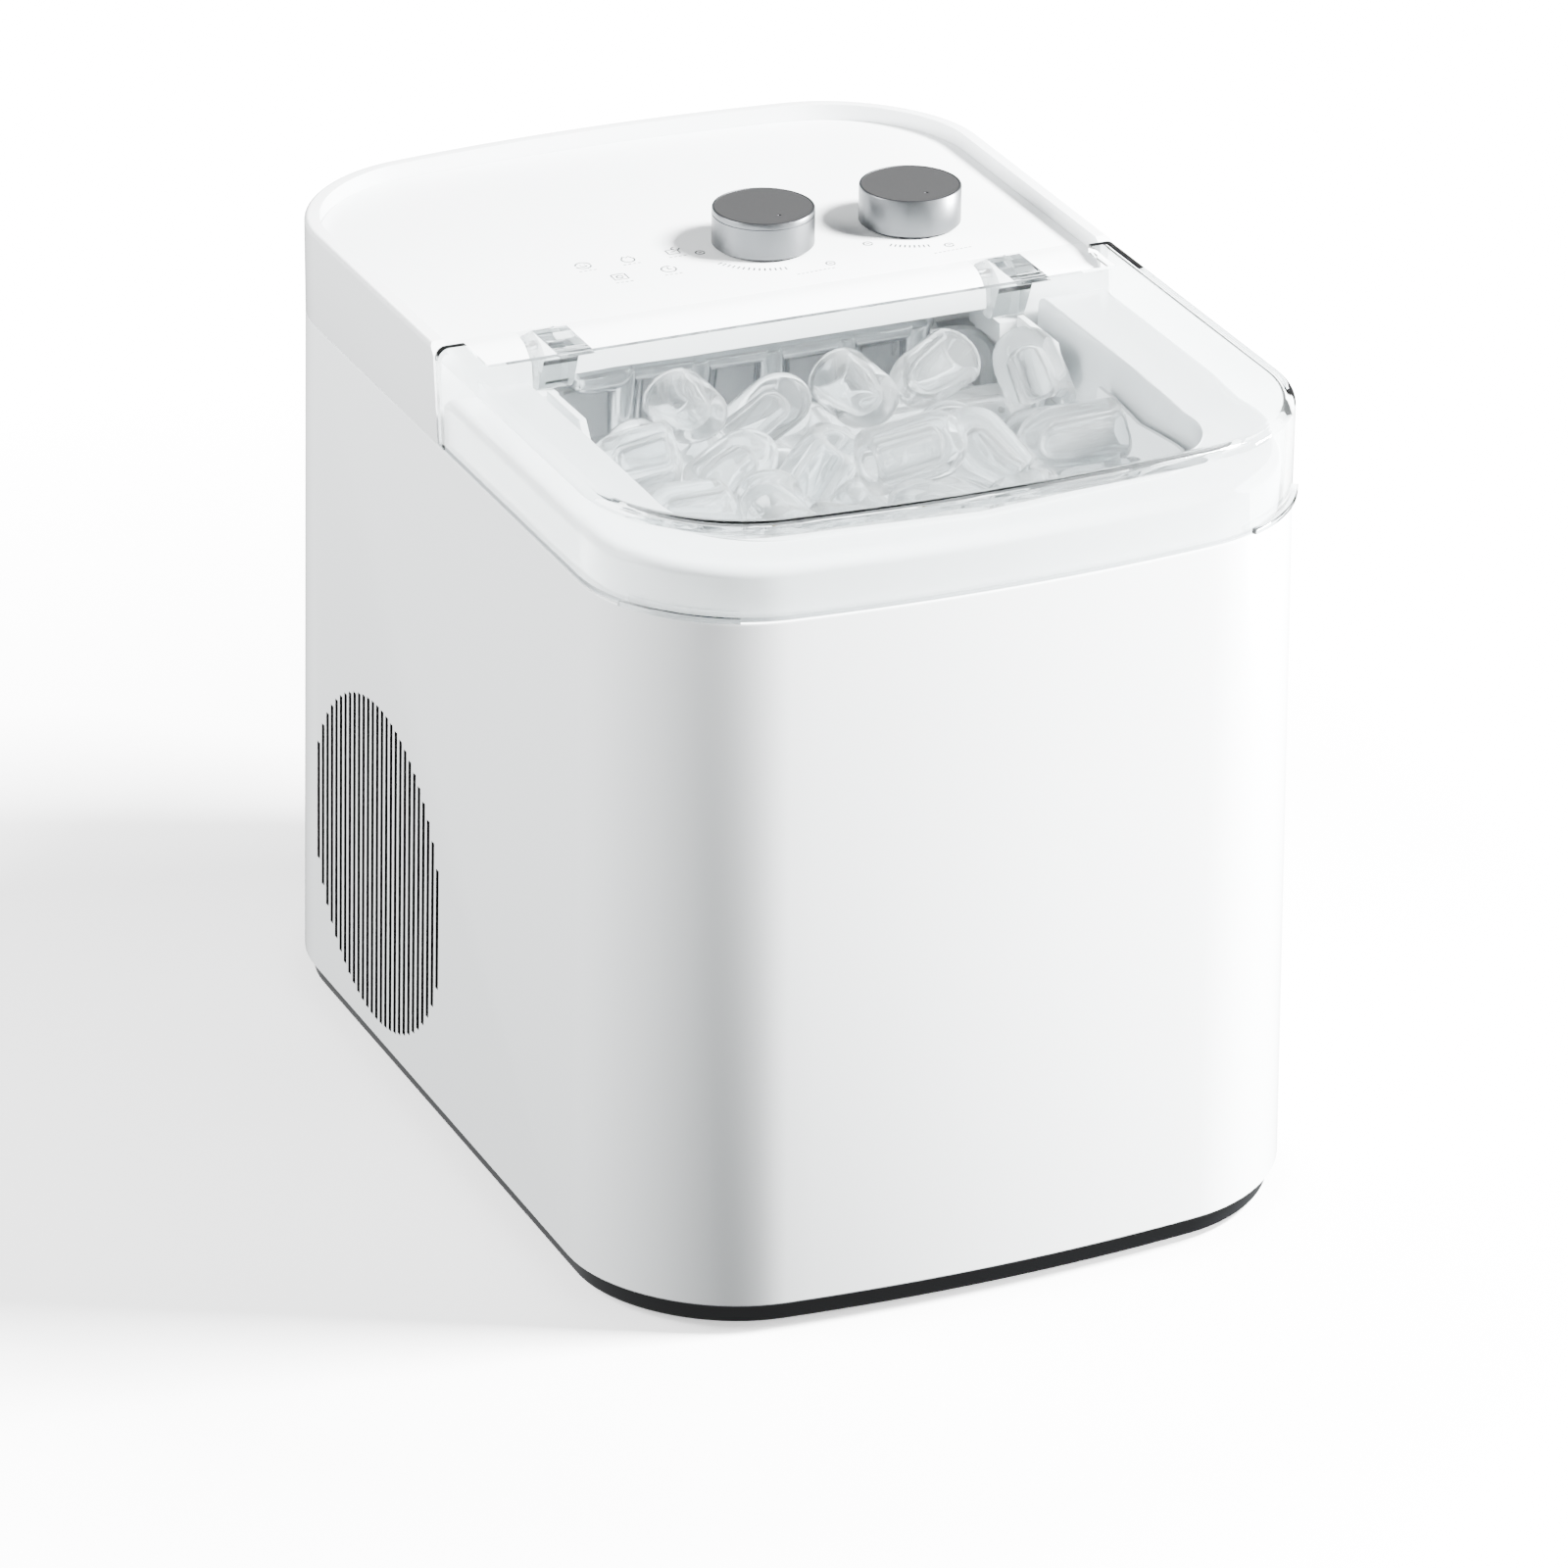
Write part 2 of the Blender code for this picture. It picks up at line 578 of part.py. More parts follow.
rings = [
    level(collar_plan(0.4, 0.2), LEDGE_Z - 29),
    level(collar_plan(0, 0), LEDGE_Z - 4),
    level(collar_plan(0.8, 0), LEDGE_Z - 1.8),
    level(collar_plan(2.4, -0.2), LEDGE_Z - 0.5),
    level(collar_plan(4.4, -0.8), LEDGE_Z),
    level(collar_plan(9, -5.0), LEDGE_Z - 0.4),
]
collar = loft("top_collar", rings)
under = [level(collar_plan(2.4, -2.4), z) for z in (LEDGE_Z - 33, LEDGE_Z - 3.4)]
combine(collar, loft("collar_hollow", under))
paint(collar, "#F0F2F2", 0.3)
guard_side = [(-1, 226), (-18, 226), (-33, 247), (-27, 256), (-1, 256)]
for side, place in ((-1, "left"), (1, "right")):
    limits = sorted((side * 81.5, side * 84.5))
    paint(prism_x("side_guard_" + place, guard_side, *limits), "#F2F4F4", 0.35)


# Ice chamber: hood under the head, tub with the reservoir in its floor, foam jacket and basket.

TUB_HALF = OPEN_HALF + 1.4
TUB_FRONT_Y = OPEN_FRONT_Y - 2
TUB_T = 2.4
TUB_BACK_Y = 86.0
TUB_TOP = LEDGE_Z - 29.5
hood_y = (BEAM_BACK_Y + GAP, TUB_BACK_Y)
hood = box("ice_chamber_hood", (-TUB_HALF, TUB_HALF), hood_y, (TUB_TOP + GAP, HOOD_Z))
hood_room = (-TUB_HALF + TUB_T, TUB_HALF - TUB_T), (0, TUB_BACK_Y - TUB_T), (200, HOOD_Z - TUB_T)
combine(hood, box("hood_room", *hood_room))
paint(hood, "#E8EAEA", 0.45)


def tub_side(inset):
    """Side outline of the tub: deep reservoir in front, shelf under the freezing fingers behind."""
    low, high = 40 + inset, 158 + inset
    step, front, back = -8 - inset, TUB_FRONT_Y + inset, TUB_BACK_Y - inset
    top = TUB_TOP if inset == 0 else TUB_TOP + 20
    return [(front, top), (front, low), (step, low), (step, high), (back, high + 3), (back, top)]


tub = prism_x("water_tank", tub_side(0), -TUB_HALF, TUB_HALF)
combine(tub, prism_x("tank_room", tub_side(TUB_T), -TUB_HALF + TUB_T, TUB_HALF - TUB_T))
combine(tub, turned("tank_drain", [(5.4, 30), (5.4, 50)], (*DRAIN, 0), count=20))
paint(tub, "#E4E8EA", 0.4)
foam = box("foam_jacket", (8 - HALF_W, HALF_W - 8), (8 - HALF_D, -9), (36, TUB_TOP - 9))
combine(foam, slab("foam_trim", plan(SHELL_T + 2), 20, TUB_TOP), "INTERSECT")
foam_room = (-TUB_HALF - GAP, TUB_HALF + GAP), (TUB_FRONT_Y - GAP, 20), (40 - GAP, TUB_TOP + 9)
combine(foam, box("foam_room", *foam_room))
combine(foam, turned("foam_drain", [(9.5, 0), (9.5, 50)], (*DRAIN, 0), count=20))
paint(foam, "#E9E2C8", 0.9)

BASKET_HALF, BASKET_FRONT, BASKET_BACK = OPEN_HALF - 3, OPEN_FRONT_Y + 9, -24.0
BASKET_Z0, BASKET_TOP, BASKET_T = 112.0, 250.0, 1.8
basket_plan = rect(-BASKET_HALF, BASKET_HALF, BASKET_FRONT, BASKET_BACK, 30, 5)
at = (0, (BASKET_FRONT + BASKET_BACK) / 2, BASKET_Z0)
basket = slab("ice_basket", basket_plan, BASKET_Z0, BASKET_TOP, foot=3, origin=at)
inside = offset(basket_plan, BASKET_T)
combine(basket, slab("basket_room", inside, BASKET_Z0 + BASKET_T, BASKET_TOP + 9, foot=2))
low_back = (-BASKET_HALF - 5, BASKET_HALF + 5), (BASKET_BACK - 30, BASKET_BACK + 6), (216, BASKET_TOP + 9)
combine(basket, box("basket_low_back", *low_back))
drains = []
for x in range(-66, 67, 22):
    for y in (-128, -98, -68):
        drains.append(box("drain", (x - 2, x + 2), (y, y + 20), (BASKET_Z0 - 9, BASKET_Z0 + 9)))
combine(basket, gang("basket_drains", drains))
paint(basket, "#DADDDF", 0.3)


# Evaporator: bent pipe with nine freezing fingers, over the tipping water tray.

FINGER_TOP, FINGER_TIP = 251.5, 214.0
RUN_FRONT, RUN_BACK = PIVOT_Y, 38.0
spots = [(62, 78, 263), (62, 78, 248), (64, 44, 248), (56, RUN_FRONT, FINGER_TOP)]
spots += [(-66, RUN_FRONT, FINGER_TOP), (-72, 26, 250), (-60, RUN_BACK, 248)]
spots += [(44, RUN_BACK, 248), (46, 78, 248), (46, 78, 263)]
evaporator = pipe("evaporator", spots, 4.0, bend=9, count=10, steps=3)
fingers = []
rows = [(x, RUN_FRONT, FINGER_TOP) for x in range(-52, 53, 26)]
rows += [(x, RUN_BACK, 248) for x in range(-39, 40, 26)]
for number, (x, y, z) in enumerate(rows):
    low = FINGER_TIP - z
    profile = [(1.5, low), (4.2, low + 2.5), (5, low + 6), (5, 1), (3, 3)]
    fingers.append(turned(f"finger_{number}", profile, (x, y, z), count=10))
bulge = [(2, -15), (4.6, -12), (6, -7), (6, 3), (4.6, 6), (2, 8)]
fingers.append(turned("bulge", bulge, (-56, RUN_FRONT, FINGER_TOP), "x", 16))
for tool in fingers:
    combine(evaporator, tool, "UNION")
paint(evaporator, "#B4B7BA", 0.25, 1.0)
for x in (46, 62):
    combine(hood, turned(f"pipe_way_{x}", [(4.5, 240), (4.5, 270)], (x, 78, 0), count=16))

TRAY_HALF, TRAY_T = 69.0, 1.8
AXLE_END = TUB_HALF + 6.6  # the shafts reach past the tank's walls
TRAY_AT = (0, TRAY_Y, TRAY_Z)
tray_side = [(-2, 231), (-2, 210), (3, 205), (44, 205), (49, 210), (49, 231)]
tray = prism_x("water_tray", tray_side, -TRAY_HALF, TRAY_HALF, TRAY_AT)
inside = [(y + (TRAY_T if y < 24 else -TRAY_T), z + (TRAY_T if z < 220 else 9)) for y, z in tray_side]
combine(tray, prism_x("tray_room", inside, -TRAY_HALF + TRAY_T, TRAY_HALF - TRAY_T))
for side, place in ((-1, "left"), (1, "right")):
    ends = [(6.5, side * TRAY_HALF), (6.5, side * (TRAY_HALF - 9))]
    combine(tray, turned("tray_boss_" + place, ends[::side], TRAY_AT, "x", 20), "UNION")
PIN_BORE = [(SHAFT_R + RUN, -TRAY_HALF - 9), (SHAFT_R + RUN, 3 - TRAY_HALF)]
combine(tray, turned("tray_pin_bore", PIN_BORE, TRAY_AT, "x"))
SHAFT_BORE = [(SHAFT_R + 0.05, TRAY_HALF - 6), (SHAFT_R + 0.05, TRAY_HALF + 9)]
combine(tray, turned("tray_shaft_bore", SHAFT_BORE, TRAY_AT, "x"))
paint(tray, "#D5D9DB", 0.4)
drive = turned("tray_drive_shaft", [(SHAFT_R, TRAY_HALF - 5.7), (SHAFT_R, AXLE_END)], TRAY_AT, "x")
paint(drive, "#B9BCC0", 0.3, 1.0)
pin = turned("tray_pivot_pin", [(SHAFT_R, -AXLE_END), (SHAFT_R, 2.5 - TRAY_HALF)], TRAY_AT, "x")
combine(pin, turned("pin_head", [(6, -AXLE_END), (6, 5 - AXLE_END)], TRAY_AT, "x"), "UNION")
paint(pin, "#B9BCC0", 0.3, 1.0)
for host in (tub, hood):
    ends = [(SHAFT_R + RUN, 3 - AXLE_END), (SHAFT_R + RUN, AXLE_END - 3)]
    combine(host, turned("axle_way_" + host.name, ends, TRAY_AT, "x"))

# Shovel: a blade between two arms that turn round the tray's axis outside its ends.
ARM_IN, ARM_T = TRAY_HALF + 3, 2.4
arm_side = [(-7, 4), (-7, -4), (-4, -58), (-2, -63), (3, -63), (4, -58), (7, -4), (7, 4), (3, 7), (-3, 7)]
arm_side = [(TRAY_Y + y, TRAY_Z + z) for y, z in arm_side]
shovel = prism_x("ice_shovel", arm_side, ARM_IN, ARM_IN + ARM_T, TRAY_AT)
combine(shovel, prism_x("shovel_arm", arm_side, -ARM_IN - ARM_T, -ARM_IN), "UNION")
blade = (-ARM_IN - 1, ARM_IN + 1), (TRAY_Y - 2, TRAY_Y + 2), (TRAY_Z - 63, TRAY_Z - 59.5)
combine(shovel, box("shovel_blade", *blade), "UNION")
ends = [(SHAFT_R + RUN, -ARM_IN - 18), (SHAFT_R + RUN, ARM_IN + 18)]
combine(shovel, turned("shovel_bore", ends, TRAY_AT, "x"))
paint(shovel, "#C9CDD0", 0.4)

motor_x = (TUB_HALF + GAP, HALF_W - 7)
motor = box("tray_motor", motor_x, (TRAY_Y - 15, TRAY_Y + 15), (TRAY_Z - 16, TRAY_Z + 11), 3)
ends = [(SHAFT_R + RUN, TUB_HALF - 12.4), (SHAFT_R + RUN, AXLE_END + 1)]
combine(motor, turned("motor_bore", ends, TRAY_AT, "x"))
paint(motor, "#2B2C2F", 0.5)
for side, place in ((-1, "left"), (1, "right")):
    way = (side * (TUB_HALF - 3.4), -3, 222)
    profile = [(4, -6.5), (4, 3.2), (2.5, 4.2)]
    sensor = turned("ice_sensor_" + place, [(r, -side * h) for r, h in profile], way, "x", 16)
    combine(tub, turned("sensor_way_" + place, [(4.3, -9), (4.3, 9)], way, "x", 16))
    paint(sensor, "#1C1D22", 0.2)


# Water: pump in the reservoir, hose to the tray, drain tube and plug.

pump = box("water_pump", (30, 62), (-50, -16), (43, 72), 3)
combine(pump, turned("pump_port", [(4, 70), (4, 84)], (54, -22, 0), count=16), "UNION")
combine(pump, turned("pump_bore", [(2.6, 60), (2.6, 90)], (54, -22, 0), count=16))
paint(pump, "#202124", 0.5)
spots = [(54, -22, 84.3), (54, -22, 100), (80, -16.5, 104), (80, -16.5, 176), (82, 6, 200), (82, 24, 236)]
spots += [(76, 24, 241), (60, 24, 241), (57, 24, 234)]
hose = pipe("water_hose", spots, 3.5, bend=10, count=10, steps=3)
paint(hose, "#DDE3E6", 0.4)
drain = sleeve("drain_tube", 8.5, 5.4, 9, 40 - GAP, (*DRAIN, 0), count=20)
paint(drain, "#C9CCCE", 0.6)
profile = [(11.5, 1), (12, 1.5), (12, 5.2), (8, 5.2), (8, 8.4), (5.2, 8.4), (5.2, 20), (4.6, 21)]
plug = turned("drain_plug", profile, (*DRAIN, 0), count=20)
hollows = [box("hollow", (a, b), (DRAIN[1] - 7, DRAIN[1] + 7), (-1, 3)) for a, b in ((-6, -1.5), (1.5, 6))]
combine(plug, gang("plug_grip", hollows))
paint(plug, "#2A2B2D", 0.7)


# Cooling: compressor, condenser behind the air slots, fan, drier, valve and pipes.

FLOOR_Z = FOOT_H + 3 + GAP
comp_at = (30, 98, FLOOR_Z)
profile = [(30, 0), (46, 6), (48, 12), (48, 70), (50, 70), (50, 74), (48, 74), (48, 104)]
profile += [(40, 120), (20, 127)]
compressor = turned("compressor", profile, comp_at, count=24)
combine(compressor, box("compressor_feet", (-22, 82), (74, 122), (FLOOR_Z + 6, FLOOR_Z + 9), 8), "UNION")
paint(compressor, "#17181A", 0.35)
COND_X = (-112.0, -92.0)
cond_y, cond_z = (4, 104), (22, 126)
condenser = box("condenser", COND_X, cond_y, cond_z)
grooves = []
for i in range(12):
    y = cond_y[0] + 5 + i * 7.9
    grooves.append(box("groove", (COND_X[0] - 5, COND_X[0] + 8), (y, y + 4), (cond_z[0] + 3, cond_z[1] - 3)))
    grooves.append(box("groove", (COND_X[1] - 8, COND_X[1] + 5), (y, y + 4), (cond_z[0] + 3, cond_z[1] - 3)))
combine(condenser, gang("condenser_fins", grooves))
paint(condenser, "#3A3C3E", 0.4, 0.8)
FAN_AT = (-80, VENT_Y, VENT_Z)
shroud = box("fan_shroud", (-91.5, -68), cond_y, cond_z, 0)
combine(shroud, turned("shroud_ring", [(44, -20), (44, 20)], FAN_AT, "x", 32))
paint(shroud, "#232427", 0.55)
rotor = turned("fan_rotor", [(13, -7), (14, -6), (14, 7)], FAN_AT, "x", 20)
for k in range(7):
    a = 2 * math.pi * k / 7
    corners = []
    for reach, spread, depth in ((10, 0.30, 5), (42, 0.26, 6)):
        for lift in (-0.5, 0.5):
            for turn, x in ((-spread, -depth), (spread, depth)):
                corners.append((FAN_AT[0] + x + lift * 1.6, a + turn + lift * 0.04, reach))
    verts = [(x, VENT_Y + r * math.cos(t), VENT_Z + r * math.sin(t)) for x, t, r in corners]
    faces = [(0, 1, 3, 2), (4, 5, 7, 6), (0, 1, 5, 4), (2, 3, 7, 6), (0, 2, 6, 4), (1, 3, 7, 5)]
    combine(rotor, add_mesh(f"fan_blade_{k}", verts, faces, FAN_AT), "UNION")
combine(rotor, turned("rotor_bore", [(1.5, 2), (1.5, 9)], FAN_AT, "x", 16))
paint(rotor, "#1D1E20", 0.45)
profile = [(1.4, 3), (1.4, 10), (16, 10), (17, 11), (17, 30), (15, 31)]
fan_motor = turned("fan_motor", profile, FAN_AT, "x", 20)
paint(fan_motor, "#55585C", 0.4, 0.6)
drier = turned("filter_drier", [(3, -30), (9, -24), (9, 24), (3, 30)], (-40, 128, 100), count=16)
paint(drier, "#B5713F", 0.3, 1.0)
valve = box("hot_gas_valve", (-62, -40), (96, 118), (150, 156))
combine(valve, turned("valve_coil", [(10, 155), (10, 178), (8, 180)], (-51, 107, 0), count=20), "UNION")
paint(valve, "#A88B4A", 0.35, 1.0)
PIPES = {
    "discharge_pipe": [(-6, 118, 128), (-6, 134, 140), (-70, 134, 140), (-102, 110, 120), (-102, 107, 100)],
    "suction_pipe": [
        (62, 78, 263.4),
        (62, 78, 266),
        (64, 90, 266),
        (70, 108, 250),
        (70, 142, 200),
        (70, 142, 104),
        (66, 134, 96),
    ],
    "liquid_pipe": [
        (-40, 128, 131),
        (-40, 128, 220),
        (-20, 110, 258),
        (30, 96, 264),
        (46, 84, 266),
        (46, 78, 266),
        (46, 78, 263.4),
    ],
}
for name, spots in PIPES.items():
    paint(pipe(name, spots, 2.6, bend=9, count=10, steps=3), "#B5713F", 0.3, 1.0)
power = box("power_board", (-30, 58), (112, 113.6), (172, 236))
BLOCKS = ((-24, 4, 180, 206, 20), (10, 26, 182, 200, 14), (32, 50, 180, 222, 10), (-20, 20, 212, 228, 9))
for number, (x0, x1, z0, z1, deep) in enumerate(BLOCKS):
    combine(power, box(f"board_block_{number}", (x0, x1), (113, 113.6 + deep), (z0, z1)), "UNION")
paint(power, "#245B3E", 0.5)
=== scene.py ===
"""A countertop ice maker, dressed for its picture.

The script reads like a lesson. Each cell makes one thing and prints what it made.
Lengths are in millimetres until a mesh is made, and the front of the machine faces -Y.
"""

# %% [markdown]
# ## The frame
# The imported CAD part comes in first. It fixes where everything is, and later pieces ride on its bodies.

# %% Load the frame
import math
import random

import bmesh
import bpy
from mathutils import Matrix, Vector


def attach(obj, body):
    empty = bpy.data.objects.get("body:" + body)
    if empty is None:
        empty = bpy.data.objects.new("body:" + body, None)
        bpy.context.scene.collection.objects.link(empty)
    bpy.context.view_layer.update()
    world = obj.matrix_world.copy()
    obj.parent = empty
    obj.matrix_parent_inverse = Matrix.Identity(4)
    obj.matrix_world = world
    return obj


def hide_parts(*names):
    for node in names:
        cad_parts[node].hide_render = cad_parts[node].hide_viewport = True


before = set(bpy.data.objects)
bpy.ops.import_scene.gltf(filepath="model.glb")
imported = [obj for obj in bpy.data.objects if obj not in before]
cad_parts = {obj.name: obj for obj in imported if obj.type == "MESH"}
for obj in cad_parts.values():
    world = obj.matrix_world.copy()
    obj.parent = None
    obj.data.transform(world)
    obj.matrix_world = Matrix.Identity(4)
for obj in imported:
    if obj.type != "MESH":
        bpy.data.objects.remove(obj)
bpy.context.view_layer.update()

MM = 0.001

# %% [markdown]
# ## Sizes
# These are the same sizes as the CAD part's, so that every visual piece sits inside its node's box.

# %% Sizes
HALF_W, HALF_D, CORNER_R = 120.0, 168.0, 48.0
FRONT_BOW, BACK_BOW, DRAFT = 11.0, 12.0, 3.6
FOOT_Z, SHELL_Z0, SEAM_Z, TOP_Z = 2.5, 9.8, 244.0, 277.0
HEAD_Z0, PANEL_Z = SEAM_Z + 0.3, 271.5
SHELL_T, LID_T, RIM_W = 2.6, 3.0, 5.0
KNOB_R, KNOB_H, KNOB_XS, KNOB_Y = 17.0, 13.5, (17.5, 70.5), 58.5
EAR_X, EAR_W, PIVOT_Y, PIVOT_Z = 80.0, 12.0, 13.6, 268.6
SWING_R = 9.0  # the head's rim ends are rounded about the lid's axis by this much
VENT_Y, VENT_Z, VENT_R = 54.0, 74.0, 57.5
FINE = 20  # steps round each upright corner


def front_y(z):
    """Front face of the head, which leans back a little."""
    return 3.0 + 0.11 * (z - SEAM_Z)


# %% [markdown]
# ## Outlines
# The machine's plan has rounded corners with a bowed front and back. Everything that follows the
# outside is made from this one outline, moved inwards or outwards.

# %% Outline tools


def offset(poly, dist):
    """Moves every side of a closed outline inwards."""
    result = []
    for i, (x1, y1) in enumerate(poly):
        x0, y0 = poly[i - 1]
        x2, y2 = poly[(i + 1) % len(poly)]
        la, lb = math.hypot(x1 - x0, y1 - y0), math.hypot(x2 - x1, y2 - y1)
        ax, ay, bx, by = (x1 - x0) / la, (y1 - y0) / la, (x2 - x1) / lb, (y2 - y1) / lb
        nx, ny = -ay - by, ax + bx
        size = math.hypot(nx, ny)
        nx, ny = nx / size, ny / size
        reach = dist / (nx * -ay + ny * ax)
        result.append((x1 + nx * reach, y1 + ny * reach))
    return result


def plan(inset=0.0, steps=FINE, bow_steps=16):
    """Outline of the machine seen from above."""
    hx, hy = HALF_W - CORNER_R, HALF_D - CORNER_R
    points = []
    for cx, cy, start in ((hx, -hy, -90), (hx, hy, 0), (-hx, hy, 90), (-hx, -hy, 180)):
        for k in range(steps + 1):
            a = math.radians(start + 90 * k / steps)
            points.append((cx + CORNER_R * math.cos(a), cy + CORNER_R * math.sin(a)))
        if start in (0, 180):
            side = math.copysign(hy + CORNER_R, cy)
            points += [(cx - 2 * cx * k / bow_steps, side) for k in range(1, bow_steps)]
    bowed = []
    for x, y in points:
        bow = FRONT_BOW if y < 0 else BACK_BOW
        bowed.append((x, y - math.copysign(bow * (x / HALF_W) ** 2 * abs(y) / HALF_D, y)))
    return offset(bowed, inset)


def clip(poly, axis, limit, above):
    """Keeps one side of an outline, cut along an axis."""
    sign = 1 if above else -1
    result = []
    for i, here in enumerate(poly):
        before = poly[i - 1]
        d0, d1 = sign * (before[axis] - limit), sign * (here[axis] - limit)
        if d0 * d1 < 0:
            t = d0 / (d0 - d1)
            result.append(tuple(before[k] + t * (here[k] - before[k]) for k in (0, 1)))
        if d1 >= 0:
            result.append(here)
    return result


def rect(x0, x1, y0, y1, radius=0.0, steps=6):
    """Rectangle with rounded corners."""
    if not radius:
        return [(x0, y0), (x1, y0), (x1, y1), (x0, y1)]
    points = []
    for cx, cy, start in ((x1, y0, -90), (x1, y1, 0), (x0, y1, 90), (x0, y0, 180)):
        cx += radius if cx == x0 else -radius
        cy += radius if cy == y0 else -radius
        for k in range(steps + 1):
            a = math.radians(start + 90 * k / steps)
            points.append((cx + radius * math.cos(a), cy + radius * math.sin(a)))
    return points


def level(poly, z):
    """Outline as points at one height."""
    return [(x, y, z) for x, y in poly]


print("plan:", len(plan()), "points")

# %% [markdown]
# ## Solids
# Four makers cover the machine: a loft through rings, an upright slab with rounded edges, a turned
# piece and a swept pipe. Booleans cut and join them.

# %% Solid tools


def mesh_object(name, verts, faces):
    """Object from points in millimetres, with its normals outward and its origin at the floor's middle."""
    mesh = bpy.data.meshes.new(name)
    mesh.from_pydata([Vector(v) * MM for v in verts], [], faces)
    work = bmesh.new()
    work.from_mesh(mesh)
    bmesh.ops.recalc_face_normals(work, faces=work.faces)
    work.to_mesh(mesh)
    work.free()
    obj = bpy.data.objects.new(name, mesh)
    bpy.context.scene.collection.objects.link(obj)
    return obj


def loft(name, rings, closed=False):
    """Skin through a stack of rings of equal size, capped unless it closes on itself."""
    count = len(rings[0])
    faces = []
    for r in range(len(rings) if closed else len(rings) - 1):
        a, b = r * count, (r + 1) % len(rings) * count
        faces += [(a + i, a + (i + 1) % count, b + (i + 1) % count, b + i) for i in range(count)]
    if not closed:
        faces += [tuple(range(count)), tuple(range((len(rings) - 1) * count, len(rings) * count))]
    return mesh_object(name, [p for ring in rings for p in ring], faces)


def slab(name, poly, z0, z1, top=0.0, foot=0.0, steps=6):
    """Upright slab whose top and foot edges are rounded."""
    rings = []
    for k in range(steps if foot else 0):
        a = math.pi / 2 * k / steps
        rings.append(level(offset(poly, foot * (1 - math.sin(a))), z0 + foot * (1 - math.cos(a))))
    rings += [level(poly, z0 + foot), level(poly, z1 - top)]
    for k in range(1, steps + 1 if top else 0):
        a = math.pi / 2 * k / steps
        rings.append(level(offset(poly, top * (1 - math.cos(a))), z1 - top * (1 - math.sin(a))))
    return loft(name, rings)


def box(name, xs, ys, zs, radius=0.0):
    """Block between pairs of limits."""
    return slab(name, rect(*xs, *ys, radius), *zs)


def prism_x(name, profile, x0, x1):
    """Prism along X on a profile of (y, z) points."""
    return loft(name, [[(x, y, z) for y, z in profile] for x in (x0, x1)])


def turned(name, profile, at, axis="z", count=48):
    """Solid turned round an axis from (radius, height) points."""
    rings = []
    for radius, height in profile:
        ring = []
        for k in range(count):
            a = 2 * math.pi * k / count
            u, v = radius * math.cos(a), radius * math.sin(a)
            spot = {"x": (height, u, v), "y": (v, height, u), "z": (u, v, height)}[axis]
            ring.append(tuple(at[i] + spot[i] for i in range(3)))
        rings.append(ring)
    return loft(name, rings)


def rounded(profile, radius, steps=4):
    """Rounds every inner corner of a (radius, height) profile."""
    result = [profile[0]]
    for before, here, after in zip(profile, profile[1:], profile[2:]):
        b = Vector(here)
        to_a, to_c = Vector(before) - b, Vector(after) - b
        reach = min(radius, to_a.length * 0.45, to_c.length * 0.45)
        a, c = b + to_a.normalized() * reach, b + to_c.normalized() * reach
        for k in range(steps + 1):
            t = k / steps
            result.append(tuple(a * (1 - t) ** 2 + b * 2 * t * (1 - t) + c * t * t))
    return result + [profile[-1]]


def pipe(name, points, radius, bend=9.0, count=24, steps=8):
    """Pipe swept along a path with rounded corners."""
    path = [Vector(p) for p in rounded(points, bend, steps)]
    rings, side = [], None
    for i, spot in enumerate(path):
        ahead = (path[min(i + 1, len(path) - 1)] - path[max(i - 1, 0)]).normalized()
        side = ahead.cross(Vector((0.3, 0.5, 0.81))) if side is None else side
        side = (side - ahead * side.dot(ahead)).normalized()
        up = ahead.cross(side)
        turns = [2 * math.pi * k / count for k in range(count)]
        rings.append([tuple(spot + side * radius * math.cos(a) + up * radius * math.sin(a)) for a in turns])
    return loft(name, rings)


def combine(obj, *tools, how="DIFFERENCE"):
    """Cuts or joins with exact Booleans, and throws the tools away."""
    for tool in tools:
        mod = obj.modifiers.new("cut", "BOOLEAN")
        mod.operation, mod.solver, mod.object = how, "EXACT", tool
    graph = bpy.context.evaluated_depsgraph_get()
    mesh = bpy.data.meshes.new_from_object(obj.evaluated_get(graph))
    obj.modifiers.clear()
    obj.data = mesh
    for tool in tools:
        bpy.data.objects.remove(tool)
    return obj


def soften(obj, angle=32):
    """Smooth shading that keeps edges sharper than the angle."""
    for face in obj.data.polygons:
        face.use_smooth = abs(face.normal.z) < 0.9999
    obj.data.set_sharp_from_angle(angle=math.radians(angle))
    return obj


# %% [markdown]
# ## Geometry Nodes
# What repeats is laid out by a node group: air slots, tick marks and freezing fingers.

# %% Geometry Nodes tools


def add_node(tree, kind, settings=None, links=None):
    """Adds one node, sets its attributes or inputs, and links sockets into its inputs."""
    node = tree.nodes.new(kind)
    for name, value in (settings or {}).items():
        if isinstance(name, int) or name in node.inputs.keys():
            node.inputs[name].default_value = value
        else:
            setattr(node, name, value)
    for name, source in (links or {}).items():
        tree.links.new(source, node.inputs[name])
    return node


def new_group(name, inputs):
    """Empty geometry group with named inputs, given as (name, socket type, start value)."""
    tree = bpy.data.node_groups.new(name, "GeometryNodeTree")
    tree.interface.new_socket("Geometry", in_out="OUTPUT", socket_type="NodeSocketGeometry")
    for label, kind, start in inputs:
        socket = tree.interface.new_socket(label, in_out="INPUT", socket_type=kind)
        if start is not None:
            socket.default_value = start
    return tree, tree.nodes.new("NodeGroupInput").outputs


